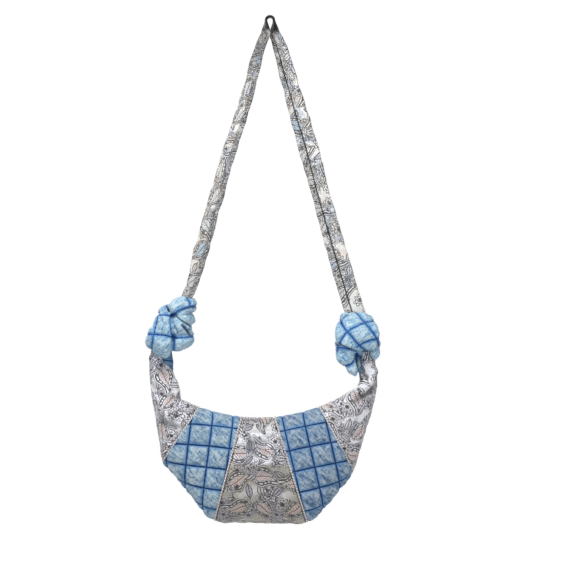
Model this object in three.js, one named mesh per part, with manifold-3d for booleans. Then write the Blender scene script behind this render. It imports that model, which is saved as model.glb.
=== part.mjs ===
// Knot shoulder bag: a crescent patchwork bag with a zipped mouth, whose two necks
// are knotted onto one long strap loop.
// Millimetres, +Z up, the front of the bag faces -Y.
// The origin is the hook seat: the underside of the strap where the loop hangs.
import * as THREE from "three";
import { mergeVertices } from "three/addons/utils/BufferGeometryUtils.js";
import Module from "manifold-3d";

const wasm = await Module();
wasm.setup();

// Clearances
const SEAM_GAP = 0.3; // between neighbouring fabric pieces
const FACING_GAP = 0.7; // between a neck's facing and the wings, whose edges twist
const FIT_GAP = 0.3; // between a piece and its seat
const RUN_GAP = 0.35; // between the slider and the chain

// Cloth
const JACQUARD_THICKNESS = 2;
const QUILT_THICKNESS = 4;
const FACING_THICKNESS = 3;
const LINING_THICKNESS = 1;
const LINING_DEPTH = 4.6; // from the outer face of the bag to the lining

// Drops: from the hook to the fold line of the necks, and from there to the bag's lowest point
const STRAP_DROP = 517;
const BAG_DROP = 241;
const FOLD_Z = -STRAP_DROP;

// Mouth: the lips follow one arc, and the zip lies sunk between them
const MOUTH_CENTRE_X = -16.6;
const MOUTH_CENTRE_Z = FOLD_Z + 174;
const MOUTH_RADIUS = 256.4;
const LIP_HALF_WIDTH = 7; // from the middle plane to the face of a hem
const LIP_RADIUS = 5;
const HEM_DEPTH = 7.8;

// Zip
const TAPE_THICKNESS = 0.8;
const TAPE_OUTER_EDGE = 12;
const ZIP_START = -22.3; // degrees on the mouth arc, chain's open end
const ZIP_END = 30; // chain's closed end
const TOOTH_PITCH = 4;
const TOOTH_LENGTH = 2.2;
const TOOTH_HEIGHT = 2;
const TOOTH_TIP = 0.85; // from the middle plane
const BEAD_INNER = 2.6;
const BEAD_OUTER = 4.4;
const STOP_LENGTH = 3;
const STOP_HEIGHT = 4.2;
const TAB_LENGTH = 12;
const TAB_THICKNESS = 1.1; // thin enough for the pull to lie over it at the chain's open end
const TAB_HALF_WIDTH = 6.4;

// Slider and pull
const SLIDER_LENGTH = 12;
const SLIDER_WIDTH = 10.6;
const SLIDER_NOSE_WIDTH = 7.6;
const SLIDER_PLATE = 1.3;
const BLADE_THICKNESS = 1;
const BLADE_LENGTH = 7;
const BLADE_SETBACK = 1; // from the slider's wide end
const BRIDGE_LENGTH = 8;
const BRIDGE_WIDTH = 2;
const BRIDGE_THICKNESS = 1.2;
const BRIDGE_CORNER = 1.4;
const PULL_THICKNESS = 1.4;
const PULL_LENGTH = 26;
const PULL_WIDTH = 7;
const PULL_TIP = 0.8; // the tip's width, as a share of the pull's
const PULL_ARM = 1.5;
const PULL_EYE_LENGTH = 5;
const PULL_CLEARANCE = 0.45;

// Strap
const STRAP_WIDTH = 30;
const STRAP_THICKNESS = 4;
const HOOK_RADIUS = 4; // inside of the strap's bend
const SEAT_ANGLE = 24; // half the arc, in degrees, that is flattened for the hook
const HOOK_SHOULDER = (SEAT_ANGLE + 90) / 2;

// Necks, which turn about the fold line
const FOLD_RANGE = 70;
const NECK_HALF_DEPTH = 9;
const NECK_TONGUE_ROWS = 2;
const TONGUE_GAP = 0.8; // between the padding in a neck and the cloth round it
const NECK_FLARE = 6; // how much deeper a neck grows over the length that the knots leave room for
const NECK_REACH = 60; // that length, from the fold line
const NECK_MARGIN = 0.8; // beside a neck, to the cloth of its knot

// Knots: middles, as a place across and a height above the fold line
const LEFT_KNOT = [-147, 51];
const RIGHT_KNOT = [131, 43];
const LEFT_WRAP_WIDTH = 44;
const RIGHT_WRAP_WIDTH = 68;
const BAND_WIDTH = 32;
const WRAP_THICKNESS = 22;
const UPPER_FOLD_WIDTH = 27;
const LOWER_FOLD_WIDTH = 24;
const LOBE_WIDTH = 34;
const BACK_WIDTH = 42;
const FOLD_THICKNESS = 18;
const MIDDLE_FOLD_WIDTH = 18;
const MIDDLE_FOLD_THICKNESS = 14;
const LEFT_TUCK_WIDTH = 14;
const LEFT_TUCK_THICKNESS = 12;
const RIGHT_TUCK_WIDTH = 18;
const RIGHT_TUCK_THICKNESS = 15;
const CROWN = 0.92; // 1 makes a roll's section an ellipse, less makes it flatter

// How finely curved forms are divided
const PANEL_STEPS = 15;
const FACING_STEPS = 6;
const LINING_STEPS = 14;
const LINING_ROWS = 10;
const NECK_RING_STEPS = 9;
const SPINDLE_STEPS = 14;
const SPINDLE_SIDES = 24;
const BALL_SIDES = 16;
const BALL_ROWS = 10;
const ROLL_SIDES = 12;
const RINGS_PER_POINT = 3;
const LEG_STEPS = 24;
const TAPE_STEPS = 36;
const TAB_STEPS = 3;

const radians = THREE.MathUtils.degToRad;

// Materials
const cloth = (color, roughness) => new THREE.MeshStandardMaterial({ color, roughness });
const jacquard = cloth(0xa8a199, 0.55);
const denim = cloth(0x9bb9da, 0.9);
const satin = cloth(0xcbc8c4, 0.5);
const liningCloth = cloth(0xb9b2a6, 0.8);
const tapeCloth = cloth(0x6f7683, 0.8);
const nickel = new THREE.MeshStandardMaterial({ color: 0x8d8f92, roughness: 0.35, metalness: 0.9 });

// A geometry as a manifold solid
function solid(geometry) {
  const bare = geometry.clone();
  bare.deleteAttribute("normal");
  bare.deleteAttribute("uv");
  const merged = mergeVertices(bare, 1e-4);
  return new wasm.Manifold(
    new wasm.Mesh({
      numProp: 3,
      vertProperties: merged.attributes.position.array,
      triVerts: new Uint32Array(merged.index.array),
    }),
  );
}

// A manifold solid as a geometry
function geometryOf(body) {
  const mesh = body.getMesh();
  const geometry = new THREE.BufferGeometry();
  geometry.setAttribute("position", new THREE.BufferAttribute(mesh.vertProperties.slice(), 3));
  geometry.setIndex([...mesh.triVerts]);
  return geometry;
}

function facingOut(positions, triangles) {
  let volume = 0;
  for (const [a, b, c] of triangles) {
    volume += positions[a].dot(new THREE.Vector3().crossVectors(positions[b], positions[c]));
  }
  if (volume < 0) triangles.forEach((triangle) => triangle.reverse());
  const geometry = new THREE.BufferGeometry().setFromPoints(positions);
  geometry.setIndex(triangles.flat());
  return geometry;
}

// A closed solid between two grids of points that have the same rows and columns
function slab(outer, inner) {
  const rows = outer.length;
  const columns = outer[0].length;
  const positions = [...outer.flat(), ...inner.flat()];
  const at = (side, row, column) => side * rows * columns + row * columns + column;
  const triangles = [];
  const quad = (a, b, c, d) => triangles.push([a, b, c], [a, c, d]);
  for (let i = 0; i < rows - 1; i++) {
    for (let j = 0; j < columns - 1; j++) {
      quad(at(0, i, j), at(0, i, j + 1), at(0, i + 1, j + 1), at(0, i + 1, j));
      quad(at(1, i, j), at(1, i + 1, j), at(1, i + 1, j + 1), at(1, i, j + 1));
    }
    quad(at(0, i, 0), at(0, i + 1, 0), at(1, i + 1, 0), at(1, i, 0));
    const last = columns - 1;
    quad(at(0, i, last), at(1, i, last), at(1, i + 1, last), at(0, i + 1, last));
  }
  for (let j = 0; j < columns - 1; j++) {
    quad(at(0, 0, j), at(1, 0, j), at(1, 0, j + 1), at(0, 0, j + 1));
    const last = rows - 1;
    quad(at(0, last, j), at(0, last, j + 1), at(1, last, j + 1), at(1, last, j));
  }
  return facingOut(positions, triangles);
}

// A closed solid through a row of rings, with flat or fanned ends
function loft(rings) {
  const count = rings[0].length;
  const positions = rings.flat();
  const triangles = [];
  for (let i = 0; i < rings.length - 1; i++) {
    for (let j = 0; j < count; j++) {
      const next = (j + 1) % count;
      const [a, b] = [i * count + j, i * count + next];
      triangles.push([a, b, b + count], [a, b + count, a + count]);
    }
  }
  const ends = [rings[0], rings[rings.length - 1]];
  ends.forEach((ring, end) => {
    const middle = ring.reduce((sum, p) => sum.add(p), new THREE.Vector3()).divideScalar(count);
    const first = end === 0 ? 0 : positions.length - count - end;
    const hub = positions.push(middle) - 1;
    for (let j = 0; j < count; j++) {
      const pair = [first + j, first + ((j + 1) % count)];
      triangles.push(end === 0 ? [pair[1], pair[0], hub] : [pair[0], pair[1], hub]);
    }
  });
  return facingOut(positions, triangles);
}

const range = (from, to, steps) =>
  Array.from({ length: steps + 1 }, (_, i) => from + ((to - from) * i) / steps);

// A point on the mouth arc, or sunk below it by a depth
function mouthPoint(degrees, y = 0, depth = 0) {
  const reach = MOUTH_RADIUS + depth;
  return new THREE.Vector3(
    MOUTH_CENTRE_X + reach * Math.sin(radians(degrees)),
    y,
    MOUTH_CENTRE_Z - reach * Math.cos(radians(degrees)),
  );
}
const mouthAngle = (point) =>
  THREE.MathUtils.radToDeg(Math.atan2(point.x - MOUTH_CENTRE_X, MOUTH_CENTRE_Z - point.z));

// Stations round the crescent, from the left neck to the right one: a point on the inner
// edge, a point on the outer edge and the half depth. A point on the mouth is an angle, and
// any other one has its place across and its share of the bag's drop.
const xz = (x, z) => new THREE.Vector3(x, 0, z);
const low = (x, dropShare) => xz(x, FOLD_Z - dropShare * BAG_DROP);
const STATIONS = [
  [low(-145, 0), low(-181, 0), NECK_HALF_DEPTH],
  [low(-145, 0.041), low(-180.4, 0.046), 9.2],
  [low(-146, 0.087), low(-179.8, 0.1), 10],
  [low(-140.5, 0.133), low(-178.8, 0.162), 12],
  [low(-136, 0.178), low(-176.6, 0.232), 15],
  [mouthPoint(-27.3), low(-172.5, 0.315), 19],
  [mouthPoint(-25.3), low(-169, 0.394), 23],
  [mouthPoint(-23), low(-165.5, 0.502), 28],
  [mouthPoint(-20.5), low(-161, 0.612), 33],
  [mouthPoint(-15.6), low(-142, 0.701), 37],
  [mouthPoint(-10.7), low(-119, 0.822), 40],
  [mouthPoint(-5.8), low(-83.4, 0.981), 42],
  [mouthPoint(-2.1), low(-37, 0.996), 43],
  [mouthPoint(1.6), low(10, 1), 43],
  [mouthPoint(5.3), low(56.1, 0.992), 42],
  [mouthPoint(10.5), low(87, 0.876), 40],
  [mouthPoint(15.6), low(108, 0.768), 37],
  [mouthPoint(20.8), low(125.5, 0.668), 33],
  [mouthPoint(25), low(136.5, 0.523), 28],
  [mouthPoint(29.2), low(146, 0.38), 24],
  [mouthPoint(33), low(154, 0.274), 20],
  [mouthPoint(35.2), low(158.3, 0.203), 16],
  [low(134.3, 0.108), low(160.3, 0.141), 12.5],
  [low(133, 0.058), low(160, 0.071), 10],
  [low(132.3, 0), low(158, 0), NECK_HALF_DEPTH],
];
const LAST = STATIONS.length - 1;
const LEFT_CORNER = 5; // the last closed station of the left neck
const RIGHT_CORNER = 21;
const SEAMS = { leftWing: 8, leftCentre: 11, rightCentre: 14, rightWing: 17 };

const innerEdge = new THREE.CatmullRomCurve3(STATIONS.map(([inner]) => inner));
const outerEdge = new THREE.CatmullRomCurve3(STATIONS.map(([, outer]) => outer));
const depthCurve = new THREE.CatmullRomCurve3(
  STATIONS.map(([, , depth], i) => new THREE.Vector3(i, depth, 0)),
);
const share = (station) => THREE.MathUtils.clamp(station / LAST, 0, 1);
const isOpen = (station) => station > LEFT_CORNER && station < RIGHT_CORNER;

// Where along a section its parts begin: belly, shoulder, rolled lip, hem
const BELLY_END = 0.4;
const CREST = 0.72;
const HEM_START = 0.94;
const WIDEST = -0.12; // how far below its middle a section is deepest, as a share of its half length
const BELLY_POWER = 2.3;
const SHOULDER_POWER = 2.1;

// A point of a half section: [along the section, out from the middle plane]
function sectionPoint(station, t) {
  const half = innerEdge.getPoint(share(station)).distanceTo(outerEdge.getPoint(share(station))) / 2;
  const depth = depthCurve.getPoint(share(station)).y;
  const middle = SEAM_GAP / 2;
  const waist = WIDEST * half;
  const crestOut = isOpen(station) ? LIP_HALF_WIDTH + LIP_RADIUS : middle;
  if (t <= BELLY_END) {
    const turn = (Math.PI / 2) * (t / BELLY_END);
    const along = waist - (half + waist) * Math.cos(turn) ** (2 / BELLY_POWER);
    return [along, middle + (depth - middle) * Math.sin(turn) ** (2 / BELLY_POWER)];
  }
  if (t <= CREST) {
    const turn = Math.min((Math.PI / 2) * ((t - BELLY_END) / (CREST - BELLY_END)), Math.PI / 2);
    const along = waist + (half - waist) * Math.sin(turn) ** (2 / SHOULDER_POWER);
    return [along, crestOut + (depth - crestOut) * Math.max(Math.cos(turn), 0) ** (2 / SHOULDER_POWER)];
  }
  if (t <= HEM_START) {
    const turn = (Math.PI / 2) * ((t - CREST) / (HEM_START - CREST));
    const along = half - LIP_RADIUS + LIP_RADIUS * Math.cos(turn);
    return [along, LIP_HALF_WIDTH + LIP_RADIUS * (1 - Math.sin(turn))];
  }
  const drop = (HEM_DEPTH - LIP_RADIUS) * ((t - HEM_START) / (1 - HEM_START));
  return [half - LIP_RADIUS - drop, LIP_HALF_WIDTH];
}

// A section's line between two values of t, moved inwards by an inset
function sectionLine(station, from, to, steps, inset) {
  return range(from, to, steps).map((t) => {
    const [along, out] = sectionPoint(station, t);
    const [right, rise] = sectionTangent(station, t);
    return [along + inset * rise, Math.max(out - inset * right, SEAM_GAP / 2)];
  });
}

// The unit direction in which a section's line runs
function sectionTangent(station, t) {
  if (t === 0) return [0, 1];
  if (t === CREST && !isOpen(station)) return [0, -1];
  const nudge = 1e-3;
  const before = sectionPoint(station, t - nudge);
  const after = sectionPoint(station, Math.min(t + nudge, 1));
  const length = Math.hypot(after[0] - before[0], after[1] - before[1]);
  return [(after[0] - before[0]) / length, (after[1] - before[1]) / length];
}

// A section's point in space: side is -1 at the front and 1 at the back
function place(station, [along, out], side) {
  const inner = innerEdge.getPoint(share(station));
  const outer = outerEdge.getPoint(share(station));
  const direction = inner.clone().sub(outer).normalize();
  const middle = inner.clone().add(outer).multiplyScalar(0.5);
  const point = middle.addScaledVector(direction, along);
  point.y = side * out;
  return point;
}

// How much of a station, or of t, makes a small length in millimetres
function stationStep(station, length) {
  const nudge = 0.01;
  const near = innerEdge.getPoint(share(station - nudge));
  const far = innerEdge.getPoint(share(station + nudge));
  return (2 * nudge * length) / near.distanceTo(far);
}
function edgeStep(station, t, length) {
  const nudge = 0.005;
  const near = sectionPoint(station, t - nudge);
  const far = sectionPoint(station, Math.min(t + nudge, CREST));
  return (nudge * length) / Math.hypot(far[0] - near[0], far[1] - near[1]);
}

// The edge where a wing ends on its neck facing, as a value of t
const LEFT_FACING_EDGE = 0.44;
const RIGHT_FACING_EDGE = 0.61;
const FACING_TIP = 0.7;
const LEFT_EDGE_CURVE = 0.7; // below 1, the left edge climbs fast at first
function facingEdge(station) {
  const fromLeft = station / LEFT_CORNER;
  const fromRight = (LAST - station) / (LAST - RIGHT_CORNER);
  if (fromLeft <= 1) {
    return THREE.MathUtils.lerp(LEFT_FACING_EDGE, FACING_TIP, fromLeft ** LEFT_EDGE_CURVE);
  }
  if (fromRight <= 1) return THREE.MathUtils.lerp(RIGHT_FACING_EDGE, FACING_TIP, fromRight);
  return 1;
}

// One panel of the shell between two stations, at the front or the back
function panel(from, to, steps, thickness, side) {
  const stations = range(from, to, steps);
  if (from > 0) stations[0] += stationStep(from, SEAM_GAP / 2);
  if (to < LAST) stations[steps] -= stationStep(to, SEAM_GAP / 2);
  const grid = (inset) =>
    stations.map((station) => {
      const edge = facingEdge(station);
      const end = edge < CREST ? edge - edgeStep(station, edge, FACING_GAP / 2) : edge;
      return sectionLine(station, 0, end, PANEL_STEPS, inset).map((p) => place(station, p, side));
    });
  return slab(grid(0), grid(thickness));
}

// A wing has a row at each station, so that the mouth's corner falls on one
function wing(from, to, side) {
  return panel(from, to, to - from, JACQUARD_THICKNESS, side);
}

// The strip that closes a neck along its inner edge
function neckFacing(from, to) {
  const stations = range(from, to, Math.abs(to - from));
  const grid = (inset) =>
    stations.map((station) => {
      const edge = facingEdge(station);
      const start = edge + edgeStep(station, edge, FACING_GAP / 2);
      const half = sectionLine(station, start, CREST, FACING_STEPS, inset);
      const crest = half.pop();
      const front = half.map((p) => place(station, p, -1));
      const back = half.map((p) => place(station, p, 1)).reverse();
      return [...front, place(station, [crest[0], 0], -1), ...back];
    });
  return slab(grid(0), grid(FACING_THICKNESS));
}

// The gathered end of a neck, which turns in the knot about the fold line
function neckRoll(station, inward) {
  const inner = innerEdge.getPoint(share(station));
  const outer = outerEdge.getPoint(share(station));
  const spindle = solid(spindleGeometry(inner.x, outer.x, 0));
  const width = Math.abs(inner.x - outer.x);
  const keep = new THREE.BoxGeometry(2 * width, 4 * NECK_HALF_DEPTH, 2 * NECK_HALF_DEPTH);
  keep.translate((inner.x + outer.x) / 2, 0, FOLD_Z + NECK_HALF_DEPTH + SEAM_GAP);
  const inset = FACING_THICKNESS + TONGUE_GAP;
  const ring = (at) => {
    const half = sectionLine(at, 0, CREST, NECK_RING_STEPS, inset);
    const front = half.map((p) => place(at, p, -1));
    const back = half.map((p) => place(at, p, 1)).reverse();
    return [...front, ...back];
  };
  const rings = range(station, station + inward * NECK_TONGUE_ROWS, NECK_TONGUE_ROWS).map(ring);
  rings.unshift(rings[0].map((p) => p.clone().setZ(p.z + 2 * SEAM_GAP)));
  return geometryOf(spindle.intersect(solid(keep)).add(solid(loft(rings))));
}

// A body of revolution about the fold line, with the neck's own section
function spindleGeometry(innerX, outerX, grow) {
  const half = Math.abs(innerX - outerX) / 2 + grow;
  const profile = range(-Math.PI / 2, Math.PI / 2, SPINDLE_STEPS).map((turn) => {
    const along = Math.sign(turn) * Math.abs(Math.sin(turn)) ** (2 / BELLY_POWER);
    const out = Math.max(Math.cos(turn), 0) ** (2 / BELLY_POWER);
    return new THREE.Vector2((NECK_HALF_DEPTH + grow) * out, half * along);
  });
  profile[0].x = 0;
  profile[profile.length - 1].x = 0;
  const lathe = new THREE.LatheGeometry(profile, SPINDLE_SIDES);
  lathe.rotateZ(-Math.PI / 2);
  return lathe.translate((innerX + outerX) / 2, 0, FOLD_Z);
}

// The space that a neck sweeps under its knot as the bag folds
function foldSpace(station) {
  const inner = innerEdge.getPoint(share(station));
  const outer = outerEdge.getPoint(share(station));
  const slack = NECK_HALF_DEPTH + FIT_GAP;
  const away = (degrees, length) => [
    length * Math.sin(radians(degrees)),
    -length * Math.cos(radians(degrees)),
  ];
  const [shoulderY, shoulderZ] = away(FOLD_RANGE + 90, slack);
  const [alongY, alongZ] = away(FOLD_RANGE, NECK_REACH);
  const [flareY, flareZ] = away(FOLD_RANGE + 90, NECK_FLARE);
  const [farY, farZ] = [alongY + flareY, alongZ + flareZ];
  const shape = new THREE.Shape();
  shape.moveTo(-shoulderY, shoulderZ);
  shape.lineTo(-shoulderY - farY, shoulderZ + farZ);
  shape.lineTo(-shoulderY - farY, -NECK_REACH);
  shape.lineTo(shoulderY + farY, -NECK_REACH);
  shape.lineTo(shoulderY + farY, shoulderZ + farZ);
  shape.lineTo(shoulderY, shoulderZ);
  const width = Math.abs(inner.x - outer.x) + 2 * NECK_MARGIN;
  const fan = new THREE.ExtrudeGeometry(shape, { depth: width, bevelEnabled: false });
  fan.rotateX(Math.PI / 2).rotateZ(Math.PI / 2);
  fan.translate(Math.min(inner.x, outer.x) - NECK_MARGIN, 0, FOLD_Z);
  return solid(fan).add(solid(spindleGeometry(inner.x, outer.x, FIT_GAP)));
}

// Lining: a thinner bag inside, whose top edge turns in under the zip tape
const LINING_TOP = 0.6; // on the shoulder, where the lining leaves the panels for the tape
function lining(side) {
  const stations = range(LEFT_CORNER + 1, RIGHT_CORNER - 1, LINING_STEPS);
  const tapeFoot = HEM_DEPTH + FIT_GAP + TAPE_THICKNESS + FIT_GAP;
  const grid = (inset) =>
    stations.map((station) => {
      const section = sectionLine(station, 0, LINING_TOP, LINING_ROWS, LINING_DEPTH + inset);
      const line = section.map((p) => place(station, p, side));
      const angle = mouthAngle(innerEdge.getPoint(share(station)));
      line.push(mouthPoint(angle, side * (TAPE_OUTER_EDGE + FIT_GAP), tapeFoot + inset));
      return line;
    });
  return slab(grid(0), grid(LINING_THICKNESS));
}

// Zip: everything lies round the mouth's centre, at the depth of the tape
const TAPE_DEPTH = HEM_DEPTH + FIT_GAP;
const CHAIN_DEPTH = TAPE_DEPTH + TAPE_THICKNESS / 2;
const CHAIN_RADIUS = MOUTH_RADIUS + CHAIN_DEPTH;
const arcDegrees = (length) => THREE.MathUtils.radToDeg(length / CHAIN_RADIUS);
const STOP_DEGREES = arcDegrees(STOP_LENGTH);
const TAB_DEGREES = arcDegrees(TAB_LENGTH);
const GAP_DEGREES = arcDegrees(FIT_GAP);

// A curved bar along the chain, between two angles, two widths and two heights
function arcBar(fromDegrees, toDegrees, steps, nearY, farY, height) {
  const rows = range(fromDegrees, toDegrees, steps);
  const grid = (depth) => rows.map((degrees) => [nearY, farY].map((y) => mouthPoint(degrees, y, depth)));
  return slab(grid(CHAIN_DEPTH - height / 2), grid(CHAIN_DEPTH + height / 2));
}

function zipTape(side) {
  const bead = BEAD_OUTER + FIT_GAP;
  const margin = GAP_DEGREES + TAB_DEGREES;
  const [near, far] = [side * bead, side * TAPE_OUTER_EDGE];
  return arcBar(ZIP_START - margin, ZIP_END + margin, TAPE_STEPS, near, far, TAPE_THICKNESS);
}

// One row of teeth on its bead: a comb bent round the mouth
function zipTeeth(side) {
  const from = ZIP_START + STOP_DEGREES + GAP_DEGREES + (side < 0 ? 0 : arcDegrees(TOOTH_PITCH / 2));
  const room = ZIP_END - STOP_DEGREES - GAP_DEGREES - from;
  const pitch = arcDegrees(TOOTH_PITCH);
  const count = Math.floor(room / pitch);
  const positions = [];
  const triangles = [];
  const columns = [TOOTH_TIP, BEAD_INNER, BEAD_OUTER];
  for (let i = 0; i < count; i++) {
    for (const degrees of [from + i * pitch, from + i * pitch + arcDegrees(TOOTH_LENGTH)]) {
      for (const y of columns) {
        positions.push(mouthPoint(degrees, side * y, CHAIN_DEPTH - TOOTH_HEIGHT / 2));
        positions.push(mouthPoint(degrees, side * y, CHAIN_DEPTH + TOOTH_HEIGHT / 2));
      }
    }
  }
  const at = (row, column, under) => 2 * (columns.length * row + column) + under;
  const quad = (a, b, c, d) => triangles.push([a, b, c], [a, c, d]);
  const cell = (row, column) => {
    const [a, b, c, d] = [[0, 0], [1, 0], [1, 1], [0, 1]].map(([r, k]) => [row + r, column + k]);
    quad(at(...a, 0), at(...b, 0), at(...c, 0), at(...d, 0));
    quad(at(...a, 1), at(...d, 1), at(...c, 1), at(...b, 1));
  };
  const wall = (a, b) => quad(at(...a, 0), at(...a, 1), at(...b, 1), at(...b, 0));
  const lastRow = 2 * count - 1;
  for (let row = 0; row < lastRow; row++) {
    cell(row, 1);
    wall([row + 1, 2], [row, 2]);
    if (row % 2 === 0) {
      cell(row, 0);
      wall([row, 0], [row + 1, 0]);
      wall([row, 1], [row, 0]);
      wall([row + 1, 0], [row + 1, 1]);
    } else {
      wall([row, 1], [row + 1, 1]);
    }
  }
  wall([0, 2], [0, 1]);
  wall([lastRow, 1], [lastRow, 2]);
  return facingOut(positions, triangles);
}

function topStop(side) {
  return arcBar(ZIP_END - STOP_DEGREES, ZIP_END, 1, side * TOOTH_TIP, side * BEAD_OUTER, STOP_HEIGHT);
}

function bottomStop() {
  return arcBar(ZIP_START, ZIP_START + STOP_DEGREES, 1, -BEAD_OUTER, BEAD_OUTER, STOP_HEIGHT);
}

// A folded cloth tab over the end of the chain, lying on both tapes
function endTab(fromDegrees, toDegrees) {
  const lift = TAPE_THICKNESS / 2 + FIT_GAP + TAB_THICKNESS / 2;
  const rows = range(fromDegrees, toDegrees, TAB_STEPS);
  const grid = (depth) =>
    rows.map((degrees) => [-TAB_HALF_WIDTH, TAB_HALF_WIDTH].map((y) => mouthPoint(degrees, y, depth)));
  return slab(grid(CHAIN_DEPTH - lift - TAB_THICKNESS / 2), grid(CHAIN_DEPTH - lift + TAB_THICKNESS / 2));
}

// The slider in its own frame: x along the chain, z away from the bag
const PLATE_INSIDE = TOOTH_HEIGHT / 2 + RUN_GAP;
const BAR_HEIGHT = PLATE_INSIDE + SLIDER_PLATE + PULL_CLEARANCE + PULL_THICKNESS / 2;
const SLIDER_PARK = ZIP_END - STOP_DEGREES - arcDegrees(SLIDER_LENGTH / 2 + FIT_GAP);
const SLIDER_FAR = ZIP_START + STOP_DEGREES + arcDegrees(SLIDER_LENGTH / 2 + FIT_GAP);

function zipSlider() {
  const half = SLIDER_LENGTH / 2;
  const wide = SLIDER_WIDTH / 2;
  const narrow = SLIDER_NOSE_WIDTH / 2;
  const outline = new THREE.Shape();
  outline.moveTo(-half, -narrow);
  outline.bezierCurveTo(-half / 4, -narrow, 0, -wide, half, -wide);
  outline.lineTo(half, wide);
  outline.bezierCurveTo(0, wide, -half / 4, narrow, -half, narrow);
  const plate = { depth: SLIDER_PLATE, bevelEnabled: false, curveSegments: 5 };
  const upper = new THREE.ExtrudeGeometry(outline, plate).translate(0, 0, PLATE_INSIDE);
  const lower = new THREE.ExtrudeGeometry(outline, plate).translate(0, 0, -PLATE_INSIDE - SLIDER_PLATE);
  const blade = new THREE.BoxGeometry(BLADE_LENGTH, BLADE_THICKNESS, 2 * PLATE_INSIDE + SLIDER_PLATE);
  blade.translate(half - BLADE_LENGTH / 2 - BLADE_SETBACK, 0, 0);
  return geometryOf(solid(upper).add(solid(lower)).add(solid(blade)).add(solid(bridge())));
}

// The loop on the slider that holds the pull's bar
function bridge() {
  const foot = PLATE_INSIDE + SLIDER_PLATE / 2;
  const top = BAR_HEIGHT + PULL_THICKNESS / 2 + PULL_CLEARANCE;
  const half = BRIDGE_LENGTH / 2;
  const inside = half - BRIDGE_THICKNESS;
  const crown = top + BRIDGE_THICKNESS;
  const shape = new THREE.Shape();
  shape.moveTo(-half, foot);
  shape.lineTo(-half, crown - BRIDGE_CORNER);
  shape.quadraticCurveTo(-half, crown, -half + BRIDGE_CORNER, crown);
  shape.lineTo(half - BRIDGE_CORNER, crown);
  shape.quadraticCurveTo(half, crown, half, crown - BRIDGE_CORNER);
  shape.lineTo(half, foot);
  shape.lineTo(inside, foot);
  shape.lineTo(inside, top);
  shape.lineTo(-inside, top);
  shape.lineTo(-inside, foot);
  const settings = { depth: BRIDGE_WIDTH, bevelEnabled: false, curveSegments: 3 };
  const loop = new THREE.ExtrudeGeometry(shape, settings);
  return loop.rotateX(Math.PI / 2).translate(0, BRIDGE_WIDTH / 2, 0);
}

// The pull in its own frame: the hinge bar's centre is the origin, the plate lies along -x
function zipPull() {
  const near = PULL_THICKNESS / 2;
  const half = PULL_WIDTH / 2;
  const tip = PULL_LENGTH - half;
  const outline = new THREE.Shape();
  outline.moveTo(near, -half);
  outline.lineTo(near, half);
  outline.lineTo(-tip, half * PULL_TIP);
  outline.absarc(-tip, 0, half * PULL_TIP, Math.PI / 2, (3 * Math.PI) / 2, false);
  outline.lineTo(near, -half);
  const eye = new THREE.Path();
  eye.moveTo(-near, -half + PULL_ARM);
  eye.lineTo(-near - PULL_EYE_LENGTH, -half + PULL_ARM);
  eye.lineTo(-near - PULL_EYE_LENGTH, half - PULL_ARM);
  eye.lineTo(-near, half - PULL_ARM);
  outline.holes.push(eye);
  const plate = new THREE.ExtrudeGeometry(outline, {
    depth: PULL_THICKNESS,
    bevelEnabled: false,
    curveSegments: 8,
  });
  return plate.translate(0, 0, -PULL_THICKNESS / 2);
}

// The strap's route: x, the share of the strap's drop, and how far its face is turned towards
// the front, in degrees. Both ends lie in the knots.
const LEFT_LEG = [
  [-132, 0.836, 26],
  [-126.5, 0.814, 27],
  [-119.7, 0.789, 32],
  [-102.9, 0.673, 45],
  [-77.7, 0.499, 42],
  [-60.3, 0.383, 40],
  [-35, 0.238, 44],
  [-19.8, 0.122, 38],
  [-8.6, 0.046, 16],
];
const RIGHT_LEG = [
  [9.2, 0.046, -18],
  [21, 0.122, -58],
  [37.5, 0.238, -62],
  [58.5, 0.383, -84],
  [74.4, 0.499, -60],
  [99.6, 0.673, -78],
  [117, 0.789, -84],
  [122, 0.82, -84],
  [129, 0.865, -84],
];

// The bend over the hook, flattened at its top so that its inside face lies in the plane z = 0
function hookArc() {
  const drop = HOOK_RADIUS * Math.cos(radians(SEAT_ANGLE));
  const reach = HOOK_RADIUS + STRAP_THICKNESS / 2;
  const side = (degrees) => ({
    centre: xz(reach * Math.sin(radians(degrees)), reach * Math.cos(radians(degrees)) - drop),
    turn: 0,
  });
  const seatHalf = HOOK_RADIUS * Math.sin(radians(SEAT_ANGLE));
  const seat = (sign) => ({
    centre: xz(sign * seatHalf, STRAP_THICKNESS / 2),
    turn: 0,
    heading: new THREE.Vector3(1, 0, 0),
  });
  return [side(-90), side(-HOOK_SHOULDER), seat(-1), seat(1), side(HOOK_SHOULDER), side(90)];
}

function legStations(leg, steps) {
  const route = new THREE.CatmullRomCurve3(leg.map(([x, dropShare]) => xz(x, -dropShare * STRAP_DROP)));
  const turns = new THREE.CatmullRomCurve3(
    leg.map(([, , turn], i) => new THREE.Vector3(i, turn, 0)),
  );
  return range(0, 1, steps).map((at) => ({ centre: route.getPoint(at), turn: turns.getPoint(at).y }));
}

// Points round a band's section, as shares of its half width and half thickness
const BAND_SECTION = [
  [-1, 0],
  [-0.93, 0.75],
  [-0.8, 1],
  [0.8, 1],
  [0.93, 0.75],
  [1, 0],
  [0.93, -0.75],
  [0.8, -1],
  [-0.8, -1],
  [-0.93, -0.75],
];

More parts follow.
